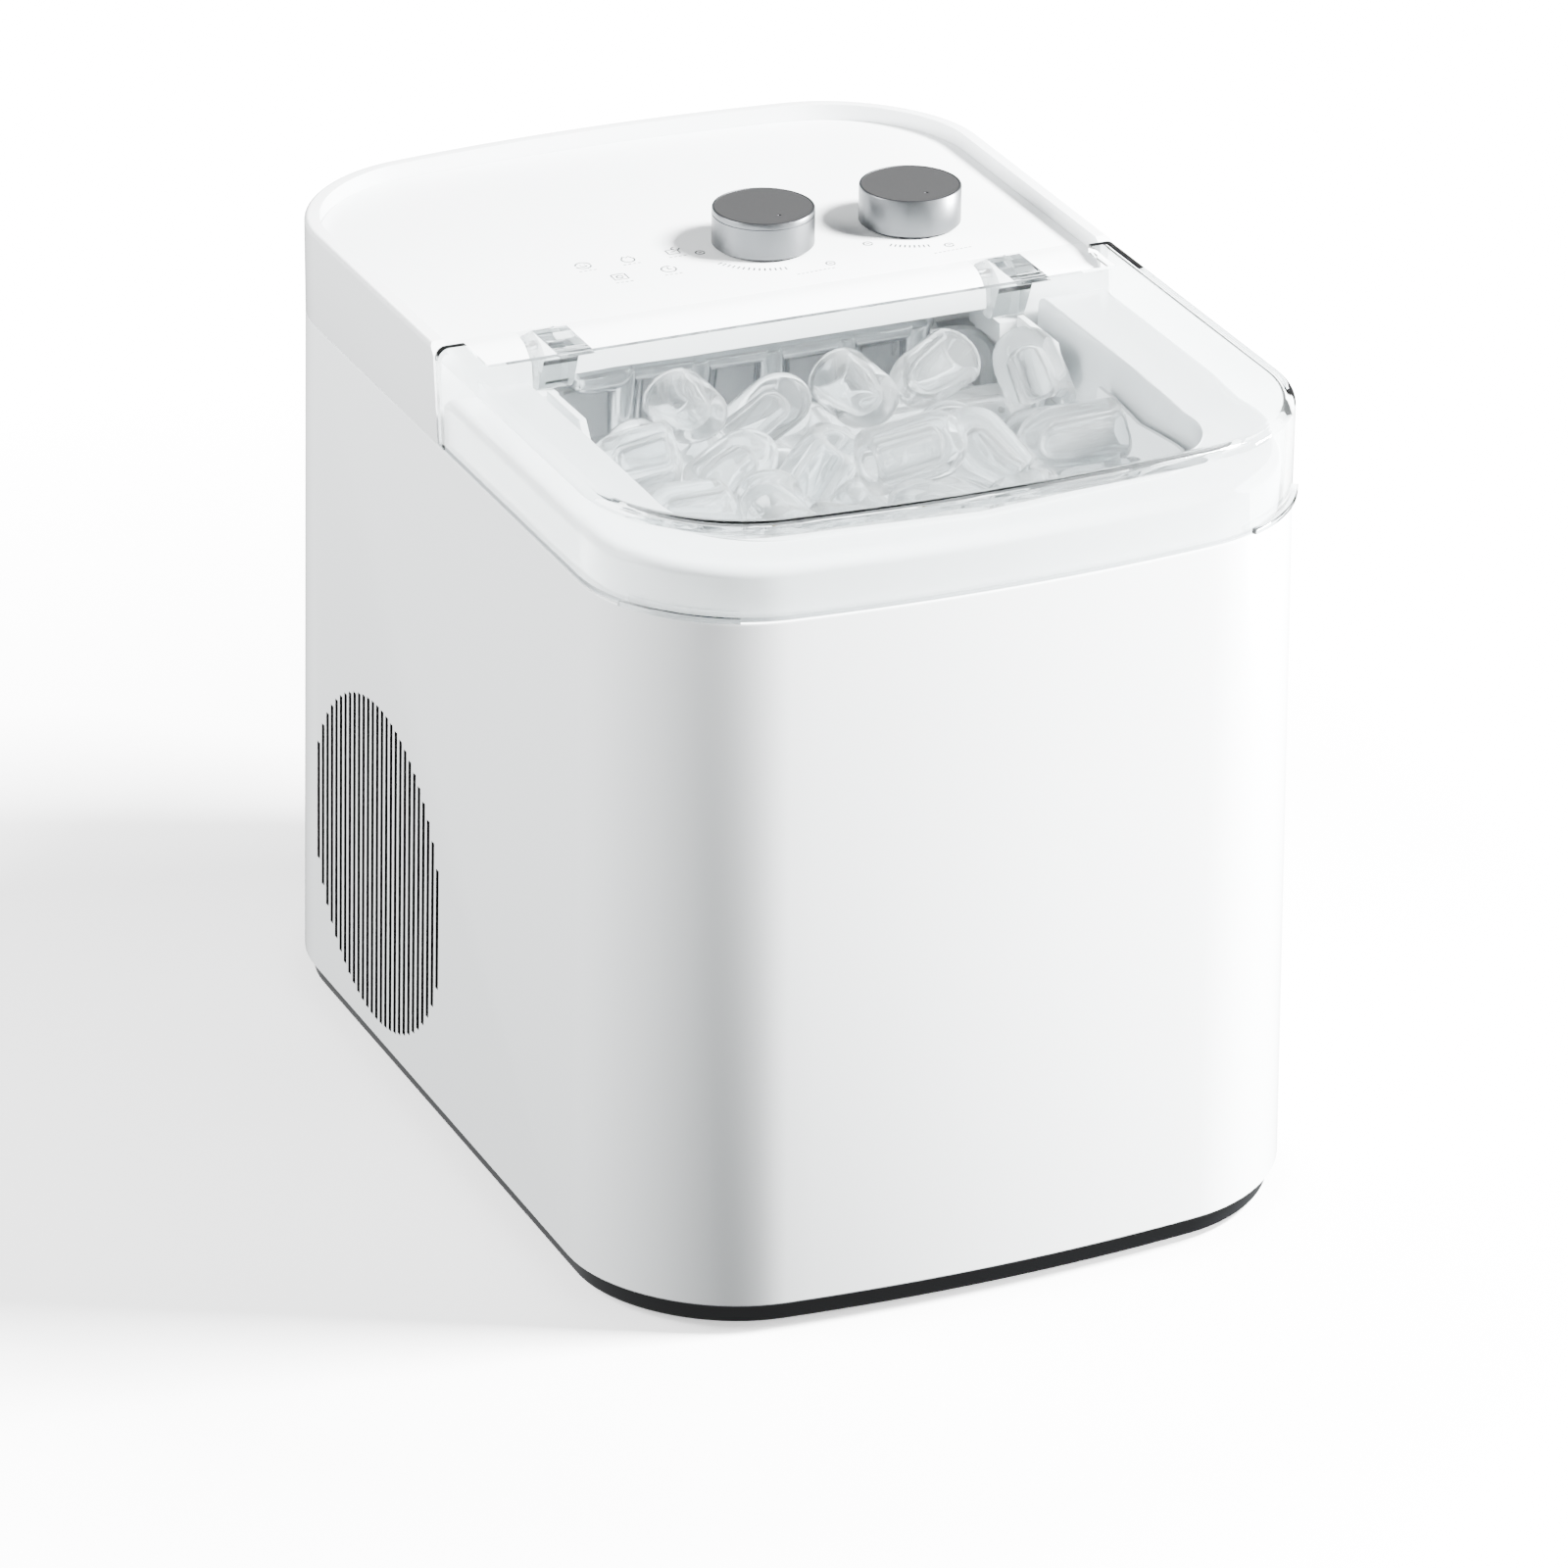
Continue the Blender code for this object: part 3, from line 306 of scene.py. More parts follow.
def close_group(tree, geometry, material):
    """Ends a group: real meshes, then one material."""
    real = add_node(tree, "GeometryNodeRealizeInstances", links={"Geometry": geometry})
    links = {"Geometry": real.outputs[0], "Material": material}
    look = add_node(tree, "GeometryNodeSetMaterial", links=links)
    add_node(tree, "NodeGroupOutput", links={0: look.outputs[0]})


def grown(name, tree, values):
    """Runs a group with the given inputs and keeps the result as a plain mesh."""
    obj = mesh_object(name, [(0, 0, 0)], [])
    mod = obj.modifiers.new("nodes", "NODES")
    mod.node_group = tree
    for item in tree.interface.items_tree:
        if item.in_out == "INPUT" and item.name in values:
            mod[item.identifier] = values[item.name]
    graph = bpy.context.evaluated_depsgraph_get()
    mesh = bpy.data.meshes.new_from_object(obj.evaluated_get(graph))
    obj.modifiers.clear()
    obj.data = mesh
    return obj


# %% [markdown]
# ## Materials
# Each material is a few nodes: a base colour with a little noise in it, a roughness and a fine bump.
# Pattern sizes are given in real millimetres through the object coordinates.

# %% Material tools


def linear(code):
    """Linear colour from an sRGB hex code."""
    parts = [int(code[i : i + 2], 16) / 255 for i in (1, 3, 5)]
    return (*[c / 12.92 if c <= 0.04045 else ((c + 0.055) / 1.055) ** 2.4 for c in parts], 1.0)


def material(name, colour, rough, metal=0.0, grain=1.0, bump=0.0, vary=0.03, stretch=(1, 1, 1), **more):
    """Procedural surface. grain is the size of its pattern in millimetres, bump its height."""
    mat = bpy.data.materials.new(name)
    mat.use_nodes = True
    tree = mat.node_tree
    bsdf = tree.nodes["Principled BSDF"]
    place = add_node(tree, "ShaderNodeTexCoord").outputs["Object"]
    scale = add_node(tree, "ShaderNodeMapping", {"Scale": Vector(stretch) / (grain * MM)}, {"Vector": place})
    noise = add_node(tree, "ShaderNodeTexNoise", {"Scale": 1.0, "Detail": 4.0}, {"Vector": scale.outputs[0]})
    base = linear(colour)
    dark = tuple(c * (1 - vary) for c in base[:3]) + (1.0,)
    mix = add_node(tree, "ShaderNodeMix", {"data_type": "RGBA"})
    mix.inputs[6].default_value, mix.inputs[7].default_value = dark, base
    tree.links.new(noise.outputs[0], mix.inputs[0])
    tree.links.new(mix.outputs[2], bsdf.inputs["Base Color"])
    wear = add_node(tree, "ShaderNodeMapRange", {"To Min": rough * 0.88, "To Max": rough * 1.12})
    tree.links.new(noise.outputs[0], wear.inputs["Value"])
    tree.links.new(wear.outputs[0], bsdf.inputs["Roughness"])
    if bump:
        relief = add_node(tree, "ShaderNodeBump", {"Strength": 0.5, "Distance": bump * MM})
        tree.links.new(noise.outputs[0], relief.inputs["Height"])
        tree.links.new(relief.outputs[0], bsdf.inputs["Normal"])
    bsdf.inputs["Metallic"].default_value = metal
    for socket, value in more.items():
        bsdf.inputs[socket.replace("_", " ")].default_value = value
    return mat


# Moulded ABS with a polished face: bright, with soft, clear reflections.
WHITE = material(
    "gloss_white", "#E5E8E9", 0.2, grain=0.6, bump=0.002, vary=0.01, Coat_Weight=0.35, Coat_Roughness=0.06
)
# ABS from a finely etched mould: the same white with blurred reflections.
SATIN = material("satin_white", "#E3E6E7", 0.38, grain=0.4, bump=0.004, vary=0.01)
# Moulded ABS, the shell's white with painted shade: a shade greyer, as white plastic looks in a shaded well.
TRIM_PAINTED_SHADE = material(
    "trim_white_painted_shade", "#CFD3D5", 0.22, grain=0.6, bump=0.002, vary=0.01, Coat_Weight=0.4, Coat_Roughness=0.06
)
# Food grade polypropylene: slightly warm and dull.
INNER = material("liner_white", "#E9ECED", 0.42, grain=0.8, bump=0.004, vary=0.02)
# Piano black ABS: almost no body colour, sharp reflections.
BLACK = material("gloss_black", "#08090A", 0.12, grain=0.5, bump=0.002, Coat_Weight=0.5, Coat_Roughness=0.05)
# Unpolished black nylon and ABS.
DARK = material("black_plastic", "#17181A", 0.5, grain=0.3, bump=0.006, vary=0.12)
# Moulded rubber: black, with hardly any reflection.
RUBBER = material("rubber", "#141415", 0.8, grain=0.25, bump=0.01, vary=0.15)
# Bare steel, ground: grey metal with a broad highlight.
STEEL = material("bare_steel", "#B9BCC0", 0.3, 1.0, grain=0.3, bump=0.002, vary=0.08)
# Nickel plated copper pipe: bright metal, a little uneven.
SILVER = material("plated_pipe", "#B6B9BB", 0.2, 1.0, grain=1.2, bump=0.003, vary=0.06)
# Anodised aluminium, brushed round: stretched grain down the knob's side.
SPUN_SIDE = material(
    "knob_side", "#5F6163", 0.36, 1.0, grain=0.5, bump=0.003, vary=0.06, stretch=(0.3, 0.3, 5)
)
# Drawn copper pipe, dulled by handling.
COPPER = material("copper", "#B87245", 0.32, 1.0, grain=3, bump=0.003, vary=0.2)
# Turned brass.
BRASS = material("brass", "#B59A55", 0.35, 1.0, grain=1, bump=0.002, vary=0.1)
# Glass fibre circuit board under green lacquer.
BOARD = material("circuit_board", "#1F5C3B", 0.45, grain=2, bump=0.01, vary=0.3)
# Poured polyurethane foam: cream, matt and pitted.
FOAM = material("foam", "#E6DEC2", 0.9, grain=1.5, bump=0.15, vary=0.12)
# Milky silicone tube: some light passes through.
SILICONE = material("silicone", "#DFE4E6", 0.4, grain=1, bump=0.003, Transmission_Weight=0.35)
# Aluminium fins with dust on them.
FINS = material("fins", "#6F7275", 0.35, 1.0, grain=0.4, bump=0.01, vary=0.15)
# Satin black enamel on the compressor's can.
PAINT = material("black_paint", "#121315", 0.3, grain=0.8, bump=0.01, vary=0.1)
# Pale grey moulded ABS.
GREY = material("basket_grey", "#E3E6E8", 0.3, grain=0.8, bump=0.002, vary=0.02, Coat_Weight=0.2)
# Screen printed ink.
PRINT = material("printed_grey", "#34383A", 0.5, grain=0.2, vary=0.05)
# Clear styrene, as moulded: refracts, with dark lines where its edges turn.
CLEAR = material(
    "clear_lid", "#EAEEEE", 0.015, grain=20, vary=0.005, Transmission_Weight=1.0, IOR=1.5
)
# Clear ice with a wet, faintly uneven skin and a little trapped air.
ICE = material(
    "ice", "#E9ECED", 0.05, grain=6, bump=0.1, vary=0.02, Transmission_Weight=0.93, IOR=1.31
)
print("materials:", len(bpy.data.materials))


def dress(obj, mat, body, *nodes, slot=None):
    """Gives a finished piece its material, its body and the CAD nodes it stands for."""
    obj.data.materials.clear()
    obj.data.materials.append(mat)
    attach(obj, body)
    if nodes:
        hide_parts(*nodes)
    print(obj.name, len(obj.data.polygons), "faces")
    return obj


# %% [markdown]
# ## Base and shell
# The shell is one drafted sleeve. Its air slots are laid out by a node group: a row of points, each
# carrying a slot whose length follows the circle it fills.

# %% Base
rings = []
for a in (0, 0.5, 1.0, math.pi / 2):
    rings.append(level(plan(-0.6 + 1.2 * (1 - math.sin(a))), FOOT_Z + 1.2 * (1 - math.cos(a))))
rings += [level(plan(-0.6), 17.8), level(plan(2.4), 17.8), level(plan(2.4), 5.5)]
base = loft("base", rings)
combine(base, turned("way", [(12.5, -2), (12.5, 6)], (0, -80, FOOT_Z)))
dress(soften(base), BLACK, "machine", "base_pan")

# %% Feet
FOOT_X, FOOT_Y = 86, 122
for end, side in ((end, side) for end in (-1, 1) for side in (-1, 1)):
    place = ("front_" if end < 0 else "rear_") + ("left" if side < 0 else "right")
    x, y = side * FOOT_X, end * FOOT_Y
    profile = rounded([(0.5, 0), (10, 0), (10, 2.2), (3, 2.2), (3, 8.2), (0.5, 8.2)], 0.5)
    foot = turned("foot_pad_" + place, profile, (x, y, 0))
    dress(soften(foot), RUBBER, "machine", "foot_" + place)

# %% Air slots
slot_shape = box("slot_shape", (-9, 9), (-1.2, 1.2), (-0.5, 0.5), 0.0)
tree, given = new_group(
    "slot_row",
    [
        ("Centre", "NodeSocketVector", None),
        ("Radius", "NodeSocketFloat", 0.05),
        ("Pitch", "NodeSocketFloat", 0.004),
        ("Count", "NodeSocketInt", 27),
        ("Slot", "NodeSocketObject", None),
        ("Material", "NodeSocketMaterial", None),
    ],
)
row = add_node(tree, "GeometryNodeMeshLine", links={"Count": given["Count"]})
index = add_node(tree, "GeometryNodeInputIndex").outputs[0]
less = add_node(tree, "ShaderNodeMath", {"operation": "SUBTRACT", 1: 1.0}, {0: given["Count"]})
middle = add_node(tree, "ShaderNodeMath", {"operation": "DIVIDE", 1: 2.0}, {0: less.outputs[0]})
step = add_node(tree, "ShaderNodeMath", {"operation": "SUBTRACT"}, {0: index, 1: middle.outputs[0]})
along = add_node(tree, "ShaderNodeMath", {"operation": "MULTIPLY"}, {0: step.outputs[0], 1: given["Pitch"]})
links = {0: along.outputs[0], 1: along.outputs[0]}
square = add_node(tree, "ShaderNodeMath", {"operation": "MULTIPLY"}, links)
full = add_node(tree, "ShaderNodeMath", {"operation": "MULTIPLY"}, {0: given["Radius"], 1: given["Radius"]})
rest = add_node(tree, "ShaderNodeMath", {"operation": "SUBTRACT"}, {0: full.outputs[0], 1: square.outputs[0]})
half = add_node(tree, "ShaderNodeMath", {"operation": "SQRT"}, {0: rest.outputs[0]})
long = add_node(tree, "ShaderNodeMath", {"operation": "MULTIPLY", 1: 2.0 / MM}, {0: half.outputs[0]})
shift = add_node(tree, "ShaderNodeCombineXYZ", links={"Y": along.outputs[0]})
links = {0: shift.outputs[0], 1: given["Centre"]}
where = add_node(tree, "ShaderNodeVectorMath", {"operation": "ADD"}, links)
links = {"Geometry": row.outputs[0], "Position": where.outputs[0]}
placed = add_node(tree, "GeometryNodeSetPosition", links=links)
size = add_node(tree, "ShaderNodeCombineXYZ", {"X": 1.0, "Y": 1.0}, {"Z": long.outputs[0]})
shape = add_node(tree, "GeometryNodeObjectInfo", links={"Object": given["Slot"]})
copies = add_node(
    tree,
    "GeometryNodeInstanceOnPoints",
    links={"Points": placed.outputs[0], "Instance": shape.outputs["Geometry"], "Scale": size.outputs[0]},
)
close_group(tree, copies.outputs[0], given["Material"])
slots = grown(
    "slots",
    tree,
    {
        "Centre": Vector((-HALF_W, VENT_Y, VENT_Z)) * MM,
        "Radius": VENT_R * MM,
        "Pitch": 4.1 * MM,
        "Count": 27,
        "Slot": slot_shape,
    },
)
bpy.data.objects.remove(slot_shape)
print("slots:", len(slots.data.polygons) // 6)

# %% Shell
rings = [level(plan(0.4 - DRAFT), SHELL_Z0), level(plan(-DRAFT), SHELL_Z0 + 0.5)]
rings += [level(plan(0), SEAM_Z - 0.8), level(plan(0.25), SEAM_Z - 0.25), level(plan(0.8), SEAM_Z)]
rings += [level(plan(SHELL_T), SEAM_Z), level(plan(SHELL_T - DRAFT), SHELL_Z0)]
shell = loft("shell", rings, closed=True)
combine(shell, slots, box("window", (-58, 58), (143, 188), (30, 222), 3))
for x, z in [(x, z) for z in (24, 228) for x in (-64, 64)]:
    face = HALF_D + DRAFT * (SEAM_Z - z) / (SEAM_Z - SHELL_Z0) - BACK_BOW * (x / HALF_W) ** 2
    combine(shell, turned("way", [(1.8, -12), (1.8, 8)], (x, face, z), "y", 24))
    combine(shell, turned("seat", [(4.2, -1.5), (4.2, 8)], (x, face, z), "y", 32))
dress(soften(shell), WHITE, "machine", "outer_shell")
# Painted shade: the slot walls inside the vent circle get the black plastic, so the gaps read dark.
shell.data.materials.append(DARK)
for face in shell.data.polygons:
    x, y, z = face.center / MM
    if x < 0 and abs(face.normal.x) < 0.5 and math.hypot(y - VENT_Y, z - VENT_Z) < VENT_R + 2:
        face.material_index = 1  # painted shade: the slots' walls get black plastic

# %% [markdown]
# ## Head, panel and knobs
# The head is cut the way the CAD part is, with finer curves. The panel carries printed marks.

# %% Head
head = slab("head", clip(plan(), 1, 3.0, True), HEAD_Z0, TOP_Z, top=1.8, foot=0.4)
slope = [(-20, 230), (front_y(230), 230), (front_y(290), 290), (-20, 290)]
crown = [(-20, 240), (front_y(262), 262)]
for k in range(1, 13):
    a = math.pi / 2 * k / 12
    crown.append((front_y(262) + 11.5 * (1 - math.cos(a)), 262 + (PANEL_Z - 262) * math.sin(a)))
crown += [(16.5, TOP_Z + 9), (-20, TOP_Z + 9)]
turns = [math.radians(145 - 3 * k) for k in range(12)]
rim_end = [(PIVOT_Y + SWING_R * math.cos(a), PIVOT_Z + SWING_R * math.sin(a)) for a in turns]
rim_end = [(-20, rim_end[0][1])] + rim_end + [(rim_end[-1][0], TOP_Z + 9), (-20, TOP_Z + 9)]
combine(
    head,
    prism_x("slope", slope, -130, 130),
    slab("recess", clip(plan(RIM_W), 1, 20.0, True), 269.0, TOP_Z + 9),
    slab("recess_front", clip(plan(RIM_W), 1, -20, True), PANEL_Z, TOP_Z + 9),
    prism_x("crown", crown, RIM_W - HALF_W, HALF_W - RIM_W),
    prism_x("rim_end", rim_end, -130, 130),
    slab("room", clip(plan(RIM_W + 4.5), 1, 27, True), 230, TOP_Z - 4),
    slab("wall_room", clip(plan(3.0), 1, 27, True), 230, 262),
    box("window", (-78, 78), (-20, 33), (230, 258)),
)
for side in (-1, 1):
    slot = sorted((side * (EAR_X - 6.8), side * (EAR_X + 6.8)))
    pocket = sorted((side * (EAR_X + 10), side * (HALF_W - 3)))
    combine(head, box("slot", slot, (-20, 20), (252, TOP_Z + 9)), box("pocket", pocket, (7, 30), (230, 262)))
dress(soften(head, 28), WHITE, "machine", "head_housing")

# %% Panel
panel = slab("panel_face", clip(plan(RIM_W + 0.15), 1, 20.1, True), 269.3, PANEL_Z, top=0.25, steps=3)
for x in KNOB_XS:
    combine(panel, turned("way", [(4.9, -9), (4.9, 9)], (x, KNOB_Y, PANEL_Z)))
dress(soften(panel), SATIN, "machine", "control_panel")

# %% [markdown]
# The tick marks sit on an arc round each knob. A node group turns a row of points into the arc.

# %% Tick arc group
tree, given = new_group(
    "tick_arc",
    [
        ("Centre", "NodeSocketVector", None),
        ("Radius", "NodeSocketFloat", 0.02),
        ("Start", "NodeSocketFloat", 0.0),
        ("Step", "NodeSocketFloat", 0.1),
        ("Count", "NodeSocketInt", 9),
        ("Tick", "NodeSocketObject", None),
        ("Material", "NodeSocketMaterial", None),
    ],
)
row = add_node(tree, "GeometryNodeMeshLine", links={"Count": given["Count"]})
index = add_node(tree, "GeometryNodeInputIndex").outputs[0]
links = {0: index, 1: given["Step"], 2: given["Start"]}
turn = add_node(tree, "ShaderNodeMath", {"operation": "MULTIPLY_ADD"}, links)
cos = add_node(tree, "ShaderNodeMath", {"operation": "COSINE"}, {0: turn.outputs[0]})
sin = add_node(tree, "ShaderNodeMath", {"operation": "SINE"}, {0: turn.outputs[0]})
ray = add_node(tree, "ShaderNodeCombineXYZ", links={"X": cos.outputs[0], "Y": sin.outputs[0]})
links = {0: ray.outputs[0], "Scale": given["Radius"]}
arm = add_node(tree, "ShaderNodeVectorMath", {"operation": "SCALE"}, links)
where = add_node(tree, "ShaderNodeVectorMath", {"operation": "ADD"}, {0: arm.outputs[0], 1: given["Centre"]})
links = {"Geometry": row.outputs[0], "Position": where.outputs[0]}
placed = add_node(tree, "GeometryNodeSetPosition", links=links)
spin = add_node(tree, "ShaderNodeCombineXYZ", links={"Z": turn.outputs[0]})
shape = add_node(tree, "GeometryNodeObjectInfo", links={"Object": given["Tick"]})
links = {"Points": placed.outputs[0], "Instance": shape.outputs["Geometry"], "Rotation": spin.outputs[0]}
copies = add_node(tree, "GeometryNodeInstanceOnPoints", links=links)
close_group(tree, copies.outputs[0], given["Material"])
tick_tree = tree

# %% [markdown]
# The five small signs on the panel are plain line drawings: a face, a drop, a cube, a dial and a leaf.

# %% Marks


def merge(name, objs):
    """Puts several meshes in one object."""
    verts, faces = [], []
    for obj in objs:
        start = len(verts)
        verts += [v.co / MM for v in obj.data.vertices]
        faces += [tuple(start + i for i in f.vertices) for f in obj.data.polygons]
        bpy.data.objects.remove(obj)
    return mesh_object(name, verts, faces)


def stroke(points, width=0.55):
    """Thin printed line through points on the panel."""
    left, right = [], []
    for i, here in enumerate(points):
        a, b = Vector(points[max(i - 1, 0)]), Vector(points[min(i + 1, len(points) - 1)])
        side = Vector((-(b - a).y, (b - a).x)).normalized() * width / 2
        left.append(tuple(Vector(here) + side))
        right.append(tuple(Vector(here) - side))
    outline = left + right[::-1]
    return loft("stroke", [level(outline, PANEL_Z - 0.02), level(outline, PANEL_Z + 0.03)])


def arc(cx, cy, radius, start, end, count=16):
    """Points on an arc."""
    angles = [math.radians(start + (end - start) * k / count) for k in range(count + 1)]
    return [(cx + radius * math.cos(a), cy + radius * math.sin(a)) for a in angles]


marks = []
for x, y in ((-44.4, 63.6), (-28.8, 63.6), (-12.4, 63.9), (-37.2, 50.0), (-19.8, 50.2)):
    marks += [stroke([(x - 3.2 + 1.7 * k, y - 4.6), (x - 2.2 + 1.7 * k, y - 4.6)], 0.45) for k in range(4)]
for lift, radius, start, end in ((0, 2.6, 0, 170), (0, 2.6, 190, 350), (0.2, 1.2, 200, 340)):
    marks.append(stroke(arc(-44.4, 63.6 + lift, radius, start, end)))
marks += [stroke([(-45.4, 64.3), (-45.0, 64.3)], 0.4), stroke([(-43.8, 64.3), (-43.4, 64.3)], 0.4)]
marks.append(stroke(arc(-28.8, 62.9, 2.2, 150, 390)))
marks.append(stroke([(-30.6, 64.1), (-29.8, 65.6), (-28.8, 64.6), (-27.8, 65.6), (-27.0, 64.1)]))
marks.append(stroke([(-14.6, 61.9), (-14.6, 65.4), (-11.4, 65.4)]))
marks.append(stroke([(-14.6, 61.7), (-10.6, 61.7), (-10.6, 64.6)]))
marks += [stroke(arc(-10.8, 65.9, 1.3, 90, 360)), stroke([(-13.4, 63.6), (-11.8, 63.6)])]
marks.append(stroke([(-39.6, 52.2), (-39.6, 47.8), (-34.8, 47.8), (-34.8, 52.2)]))
marks.append(stroke([(-39.4, 52.4), (-35.0, 52.4)]))
marks += [stroke(arc(-37.2, 50.0, 1.1, 0, 340))]
marks += [stroke(arc(-19.8, 50.2, 2.5, 60, 390)), stroke([(-19.8, 51.8), (-19.8, 50.2), (-18.8, 49.8)])]
for x, y in ((-4.6, 59.6), (31.0, 34.6), (49.4, 45.6), (73.6, 34.4)):
    marks += [stroke(arc(x, y, 1.5, 0, 340)), stroke([(x - 0.6, y), (x + 0.6, y)])]
for x0, y0, count in ((17.0, 29.8, 9), (66.0, 29.4, 9)):
    for k in range(count):
        x, y = x0 + 1.6 * k, y0 + 0.1 * k
        marks.append(stroke([(x, y), (x + 0.9, y)], 0.5))
tick = box("tick", (-1.1, 1.1), (-0.28, 0.28), (-0.02, 0.03))
for x, start, step, count in ((KNOB_XS[0], 3.62, 0.078, 14), (KNOB_XS[1], 4.0, 0.07, 9)):
    values = {"Centre": Vector((x, KNOB_Y, PANEL_Z)) * MM, "Radius": 22.4 * MM, "Start": start, "Step": step}
    marks.append(grown("ticks", tick_tree, {**values, "Count": count, "Tick": tick}))
bpy.data.objects.remove(tick)
dress(merge("panel_marks", marks), PRINT, "machine", slot="control_panel")

# %% [markdown]
# Each knob is one turned shell. Its flat top has a darker spun finish, so it gets a second material.

# %% Knobs
spun = material("knob_top", "#8F8F90", 0.34, 1.0, grain=0.5, bump=0.002, vary=0.08)
for x, place in zip(KNOB_XS, ("left", "right")):
    at = (x, KNOB_Y, PANEL_Z)
    outer = [(KNOB_R - 0.4, 0.7), (KNOB_R, 1.1)]
    if place == "left":
        groove = ((0, 2.3), (0.25, 2.2), (0.25, 1.9), (0, 1.8))
        outer += [(KNOB_R - back, KNOB_H - down) for back, down in groove]
    edge = ((0, 0.5), (0.15, 0.15), (0.5, 0), (0.8, 0), (0.95, 0.12))
    outer += [(KNOB_R - back, KNOB_H - down) for back, down in edge] + [(0.4, KNOB_H - 0.12)]
    bottom = [(3.1, 9.8), (3.1, 0.7), (5.6, 0.7), (5.6, KNOB_H - 3)]
    bottom += [(KNOB_R - 1.6, KNOB_H - 3), (KNOB_R - 1.6, 0.7)]
    knob = turned("knob_cap_" + place, [(0.4, 9.8)] + bottom + outer, at, count=128)
    dot_at = (x + 1.5, KNOB_Y - 9.5, PANEL_Z)
    combine(knob, turned("mark", [(0.7, KNOB_H - 0.5), (0.7, KNOB_H + 3)], dot_at, count=24))
    dress(soften(knob, 25), SPUN_SIDE, place + "_knob", "knob_" + place)
    knob.data.materials.append(spun)
    for face in knob.data.polygons:
        flat = face.normal.z > 0.9 and face.center.z > (PANEL_Z + KNOB_H - 0.6) * MM
        near = math.hypot(face.center.x / MM - x, face.center.y / MM - KNOB_Y) < KNOB_R - 0.9
        face.material_index = 1 if flat and near else 0

# %% [markdown]
# ## Lid
# The lid is a clear shell: a plate and a skirt, with two ears that reach back to the hinge pins.

# %% Lid
lid = slab("lid_clear", clip(plan(), 1, 12, False), HEAD_Z0, TOP_Z, top=3.6, foot=0.4, steps=8)
combine(lid, slab("hollow", clip(plan(LID_T), 1, 20, False), 230, TOP_Z - LID_T, top=2.0))
combine(lid, prism_x("back", [(front_y(z) - 1.5, z) for z in (230, 290)] + [(60, 290), (60, 230)], -130, 130))
combine(lid, box("plate_back", (10 - HALF_W, HALF_W - 10), (-15, 30), (TOP_Z - 9, TOP_Z + 5)))
ear_side = [(-18, TOP_Z - 0.4), (-18, TOP_Z - 2.4), (-3, 268), (1.6, 257)]
ear_side += arc(6, 258.5, 4.6, 206, 344, 14) + [(11.6, 264.4)]
ear_side += arc(PIVOT_Y, PIVOT_Z, 3.6, -92, 57, 14) + [(7, TOP_Z - 0.4)]
for side in (-1, 1):
    near = [i for i, p in enumerate(plan()) if p[0] * side > 84 and p[1] < -132]
    lip = [plan(-1.7)[i] for i in near] + [plan(1.3)[i] for i in reversed(near)]
    combine(lid, slab("lip", lip, HEAD_Z0 + 0.12, HEAD_Z0 + 1.9, 0.4, 0, 3), how="UNION")
    limits = sorted((side * (EAR_X - EAR_W / 2), side * (EAR_X + EAR_W / 2)))
    combine(lid, prism_x("ear", ear_side, *limits), how="UNION")
    combine(lid, turned("bore", [(1.6, -9), (1.6, 9)], (side * EAR_X, PIVOT_Y, PIVOT_Z), "x", 32))
dress(soften(lid, 15), CLEAR, "lid", "lid")
lid.visible_shadow = lid.visible_diffuse = False  # lamps shine through it

# %% [markdown]
# ## Collar, guards and basket

# %% Collar


def collar_plan(outer, edge, steps=16):
    """U shape between the lid's skirt and the opening."""
    ring = clip(plan(LID_T + 1.2 + outer), 1, 2.4 - outer, False)
    back = [p for p in ring if p[1] > 2.39 - outer]
    front = [p for p in ring if p not in back]
    start = min(range(len(front)), key=lambda i: (front[i][0] > 0, -front[i][1]))
    front = front[start:] + front[:start]
    inside = [(91.0 - edge, back[0][1])]
    for k in range(steps + 1):
        a = math.radians(-90 * k / steps)
        inside.append((57 - edge + 34 * math.cos(a), -108 - edge + 34 * math.sin(a)))
    inside += [(0, -148 - edge)] + [(-x, y) for x, y in reversed(inside)]
    return [min(back), *front, max(back)] + inside


heights = [(0.4, 0.2, 232), (0, 0, 257), (0.25, 0, 258.2), (0.9, 0, 259.3)]
heights += [(2.0, -0.1, 260.3), (3.4, -0.3, 260.8)]
heights += [(4.6, -0.6, 261.0), (9, -2.5, 260.9), (12, -4.5, 260.6)]
collar = loft("collar", [level(collar_plan(a, b), z) for a, b, z in heights])
combine(collar, loft("under", [level(collar_plan(2.4, -2.4), z) for z in (228, 257.6)]))
# The collar wears the greyed white: painted shade for its well.
dress(soften(collar), TRIM_PAINTED_SHADE, "machine", "top_collar")

# %% Guards
side_line = [(-1, 226), (-18, 226), (-33, 247), (-27, 256), (-1, 256)]
for side, place in ((-1, "left"), (1, "right")):
    rings = []
    for x, inset in ((81.5, 0.6), (82.0, 0), (84.0, 0), (84.5, 0.6)):
        rings.append([(side * x, y, z) for y, z in offset(side_line[::-1], inset)])
    dress(soften(loft("guard_" + place, rings)), WHITE, "machine", "side_guard_" + place)

# %% Basket
outline = rect(-88, 88, -139, -24, 30, 16)
basket = slab("basket", outline, 112, 250, top=0.8, foot=4)
combine(basket, slab("room", offset(outline, 1.8), 113.8, 259, foot=3))
combine(basket, box("low_back", (-93, 93), (-54, -18), (216, 259)))
for x in range(-66, 67, 22):
    combine(basket, *[box("drain", (x - 2, x + 2), (y, y + 20), (103, 121), 1.9) for y in (-128, -98, -68)])
dress(soften(basket), GREY, "basket", "ice_basket")

# %% [markdown]
# ## Evaporator
# A bent pipe carries nine hollow fingers. A node group hangs the fingers along two straight rows.

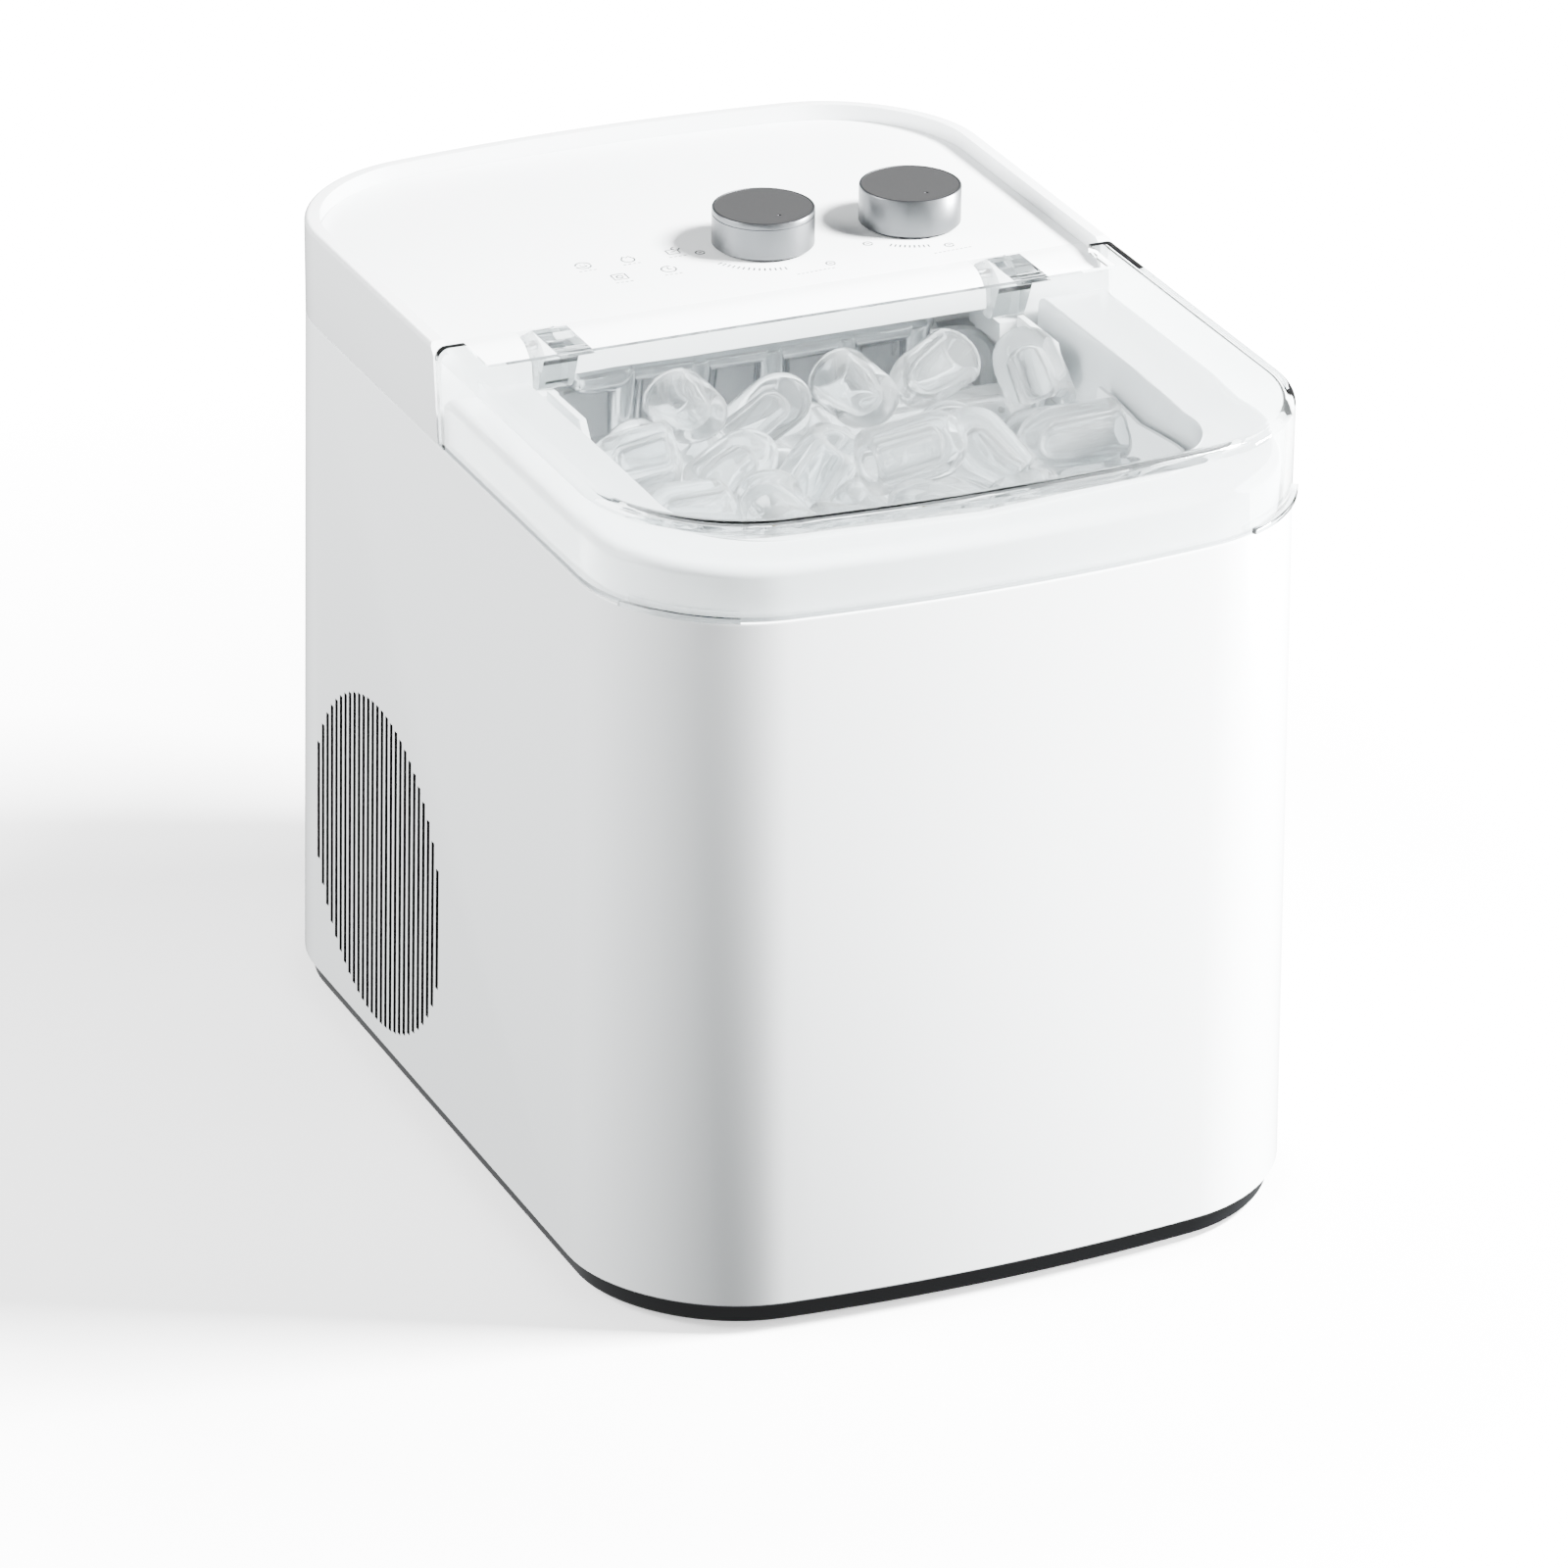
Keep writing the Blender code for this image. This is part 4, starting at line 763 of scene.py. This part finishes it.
# %% Evaporator
tree, given = new_group(
    "finger_row",
    [
        ("Start", "NodeSocketVector", None),
        ("Step", "NodeSocketVector", None),
        ("Count", "NodeSocketInt", 5),
        ("Finger", "NodeSocketObject", None),
        ("Material", "NodeSocketMaterial", None),
    ],
)
links = {"Count": given["Count"], "Start Location": given["Start"], "Offset": given["Step"]}
row = add_node(tree, "GeometryNodeMeshLine", links=links)
shape = add_node(tree, "GeometryNodeObjectInfo", links={"Object": given["Finger"]})
links = {"Points": row.outputs[0], "Instance": shape.outputs["Geometry"]}
copies = add_node(tree, "GeometryNodeInstanceOnPoints", links=links)
close_group(tree, copies.outputs[0], given["Material"])
metal = []
for y, z, x, count in ((PIVOT_Y, 251.5, -52, 5), (38, 248, -39, 4)):
    tip = 214 - z
    profile = rounded([(0.5, tip), (4.4, tip), (5, tip + 6), (5, 1), (3, 3), (0.5, 3)], 1.2)
    finger = turned("finger", profile, (0, 0, 0), count=32)
    start, step = Vector((x, y, z)) * MM, Vector((26, 0, 0)) * MM
    values = {"Start": start, "Step": step, "Count": count, "Finger": finger}
    metal.append(grown("fingers", tree, values))
    bpy.data.objects.remove(finger)
path = [(62, 78, 263), (62, 78, 248), (64, 44, 248), (56, PIVOT_Y, 251.5), (-66, PIVOT_Y, 251.5)]
path += [(-72, 26, 250), (-60, 38, 248), (44, 38, 248), (46, 78, 248), (46, 78, 263)]
metal.append(pipe("tube", path, 4.0))
bulge = rounded([(0.5, -15), (4.6, -13), (6, -7), (6, 3), (4.6, 6), (0.5, 8)], 2.5)
metal.append(turned("bulge", bulge, (-56, PIVOT_Y, 251.5), "x"))
dress(soften(merge("evaporator_metal", metal), 40), SILVER, "machine", "evaporator")

# %% [markdown]
# ## Ice
# The basket is full of hollow bullet ice. The pieces are dropped into it as rigid bodies, at twenty
# times their size so that the solver is steady, and then kept as one still heap.

# %% One piece of ice


def bullet(length):
    """Domed cylinder with a bore from its flat end."""
    half = length / 2
    turns = [0.04 + 1.53 * k / 7 for k in range(8)]
    profile = [(11 * math.sin(a), -half + 11 * (1 - math.cos(a))) for a in turns]
    profile += [(11, half - 1.5), (10.4, half - 0.4), (9.4, half), (7, half), (6.1, half - 0.6)]
    profile += [(5.6, half - 3), (5, -half + 12), (3.4, -half + 9.4), (0.4, -half + 8.6)]
    return turned("bullet", profile, (0, 0, 0), count=22)


# %% Heap
SCALE = 20.0
random.seed(7)
scene = bpy.context.scene


def body(obj, kind, shape):
    """Makes an object a rigid body."""
    bpy.ops.object.select_all(action="DESELECT")
    bpy.context.view_layer.objects.active = obj
    obj.select_set(True)
    bpy.ops.rigidbody.object_add(type=kind)
    obj.rigid_body.collision_shape = shape
    obj.rigid_body.friction = 0.25
    obj.rigid_body.use_margin = True
    obj.rigid_body.collision_margin = 0.004
    obj.rigid_body.linear_damping = 0.15
    obj.rigid_body.angular_damping = 0.3


def settle(count, frames):
    """Drops pieces between walls and returns each one's length and resting matrix."""
    bpy.ops.rigidbody.world_add()
    world = scene.rigidbody_world
    world.substeps_per_frame, world.solver_iterations = 8, 20
    world.point_cache.frame_end = frames
    scene.gravity = (0, 0, -60)
    walls = []
    for xs, ys, zs in (
        ((-90, 90), (-160, 10), (95, 115)),
        ((-110, -85.5), (-160, 30), (95, 460)),
        ((85.5, 110), (-160, 30), (95, 460)),
        ((-110, 110), (-160, -136.6), (95, 460)),
        ((-110, 110), (-26, 12), (95, 217)),
        ((-110, 110), (-7, 12), (217, 460)),
    ):
        half = [(b - a) / 2 * SCALE for a, b in (xs, ys, zs)]
        walls.append(box("wall", *[(-h, h) for h in half]))
        walls[-1].location = [(a + b) / 2 * MM * SCALE for a, b in (xs, ys, zs)]
        body(walls[-1], "PASSIVE", "BOX")
        walls[-1].rigid_body.friction = 0.1
    for side in (-1, 1):  # the basket's round front corners
        walls.append(box("wall", *[(-h * SCALE, h * SCALE) for h in (12, 24, 182)]))
        walls[-1].location = [v * MM * SCALE for v in (side * 86.4, -137.4, 277)]
        walls[-1].rotation_euler.z = -side * math.pi / 4
        body(walls[-1], "PASSIVE", "BOX")
        walls[-1].rigid_body.friction = 0.1
    drops = []
    for i in range(count):
        length = random.uniform(29, 35)
        piece = bullet(length)
        piece.data.transform(Matrix.Scale(SCALE, 4))
        spot = (-62 + 31 * (i % 5), -116 + 29 * (i // 5 % 4), 140 + 25 * (i // 20))
        piece.location = Vector([(v + random.uniform(-4, 4)) * MM * SCALE for v in spot])
        piece.rotation_euler = [random.uniform(-3.1, 3.1) for _ in range(3)]
        body(piece, "ACTIVE", "CONVEX_HULL")
        drops.append((length, piece))
    for f in range(1, frames + 1):
        scene.frame_set(f)
    rest = []
    for length, piece in drops:
        spot, spin, _ = piece.matrix_world.decompose()
        rest.append((length, Matrix.Translation(spot / SCALE) @ spin.to_matrix().to_4x4()))
    bpy.ops.rigidbody.world_remove()
    for obj in walls + [piece for _, piece in drops]:
        bpy.data.objects.remove(obj)
    scene.frame_set(1)
    return rest


heap = []
for length, place in settle(190, 110):
    piece = bullet(length)
    piece.data.transform(place)
    heights = [v.co.z / MM for v in piece.data.vertices]
    if min(heights) > 110 and max(heights) < 264.4:
        heap.append(piece)
    else:
        bpy.data.objects.remove(piece)
tops = [max(v.co.z for v in piece.data.vertices) / MM for piece in heap]
print("ice pieces:", len(heap), "highest", round(max(tops)))
ice = dress(soften(merge("ice_heap", heap), 50), ICE, "basket", slot="lid")
ice.visible_shadow = ice.visible_diffuse = False

# %% [markdown]
# ## The carried-over pieces
# Every CAD node that keeps its own shape gets a procedural material that suits what it is made of.

# %% Inner pieces
LOOKS = {
    INNER: ("water_tank", "ice_chamber_hood", "rear_panel"),
    GREY: ("water_tray", "ice_shovel"),
    DARK: (
        "power_inlet",
        "fan_rotor",
        "fan_shroud",
        "tray_motor",
        "water_pump",
        "ice_sensor_left",
        "ice_sensor_right",
    ),
    RUBBER: ("drain_plug",),
    STEEL: ("hinge_pin_left", "hinge_pin_right", "tray_drive_shaft", "tray_pivot_pin", "fan_motor"),
    COPPER: ("discharge_pipe", "suction_pipe", "liquid_pipe", "filter_drier"),
    BRASS: ("knob_shaft_left", "knob_shaft_right", "hot_gas_valve"),
    BOARD: ("control_board", "power_board"),
    FOAM: ("foam_jacket",),
    SILICONE: ("water_hose", "drain_tube"),
    FINS: ("condenser",),
    PAINT: ("compressor",),
}
LOOKS[STEEL] += tuple(f"rear_screw_{n}" for n in range(1, 5))
LOOKS[STEEL] += ("selector_switch_left", "selector_switch_right")
for mat, names in LOOKS.items():
    for name in names:
        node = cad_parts[name]
        node.data.materials.clear()
        node.data.materials.append(mat)
        soften(node)
print("carried over:", sum(len(names) for names in LOOKS.values()))

# %% [markdown]
# ## Stage, light and camera
# A white sweep, a large soft key light from the right and the camera in front, to the left and above.

# %% Stage
# Painted light: the floor glows, faintly within 0.3 m of the middle and fully from 0.8 m out, so the far
# floor reads white while the machine's shadow still shows.
floor_glow_mat = material("floor", "#F6F6F6", 0.85, grain=40, vary=0.004, Emission_Color=(1, 1, 1, 1))
tree = floor_glow_mat.node_tree
place = add_node(tree, "ShaderNodeTexCoord").outputs["Object"]
reach = add_node(tree, "ShaderNodeVectorMath", {"operation": "LENGTH"}, {0: place})
ramp = {"From Min": 0.3, "From Max": 0.8, "To Min": 0.9, "To Max": 12.0}
glow = add_node(tree, "ShaderNodeMapRange", ramp, {"Value": reach.outputs["Value"]})
tree.links.new(glow.outputs[0], tree.nodes["Principled BSDF"].inputs["Emission Strength"])
floor = loft("floor", [level(rect(-9000, 9000, -9000, 9000), z) for z in (-40, 0)])
floor.data.materials.append(floor_glow_mat)
floor.visible_diffuse = floor.visible_glossy = False

# %% Light
world = bpy.data.worlds.new("room")
scene.world = world
world.use_nodes = True
world.node_tree.nodes["Background"].inputs[0].default_value = (0.96, 0.98, 1, 1)
world.node_tree.nodes["Background"].inputs[1].default_value = 0.4


def lamp(name, toward, distance, width, height, power, target=(0, 0, 0.14)):
    """Soft rectangular light that shines on a point from a direction and distance in metres."""
    data = bpy.data.lights.new(name, "AREA")
    data.shape, data.size, data.size_y, data.energy = "RECTANGLE", width, height, power
    obj = bpy.data.objects.new(name, data)
    aim = Vector(toward).normalized()
    obj.location = Vector(target) + aim * distance
    obj.rotation_euler = aim.to_track_quat("Z", "Y").to_euler()
    obj.visible_camera = obj.visible_transmission = False
    scene.collection.objects.link(obj)


lamp("key", (0.64, -0.31, 0.7), 1.8, 0.45, 0.45, 500)
lamp("side", (0.95, -0.25, 0.03), 1.8, 0.5, 0.3, 410)
lamp("left", (-1.0, 0.22, 0.55), 1.3, 0.8, 0.8, 50)

# %% Camera
AZ, EL, ROLL = math.radians(-24.4056), math.radians(25.4075), math.radians(0.6629)
DIST, TX, TY, UNIT, LIFT = 11.43906, -0.0075845, -0.4071274, 0.240, -0.00392
back = Vector((math.sin(AZ) * math.cos(EL), -math.cos(AZ) * math.cos(EL), math.sin(EL)))
right = Vector((math.cos(AZ), math.sin(AZ), 0))
up = back.cross(right)
right, up = right * math.cos(ROLL) + up * math.sin(ROLL), up * math.cos(ROLL) - right * math.sin(ROLL)
camera = bpy.data.objects.new("camera", bpy.data.cameras.new("camera"))
spot = (back * DIST - right * TX - up * TY) * UNIT + Vector((0, 0, LIFT))
camera.matrix_world = Matrix.Translation(spot) @ Matrix((right, up, back)).transposed().to_4x4()
camera.data.sensor_width, camera.data.lens = 36.0, 36 * 8342.64 / 1600
camera.data.clip_end = 50
scene.collection.objects.link(camera)
scene.camera = camera
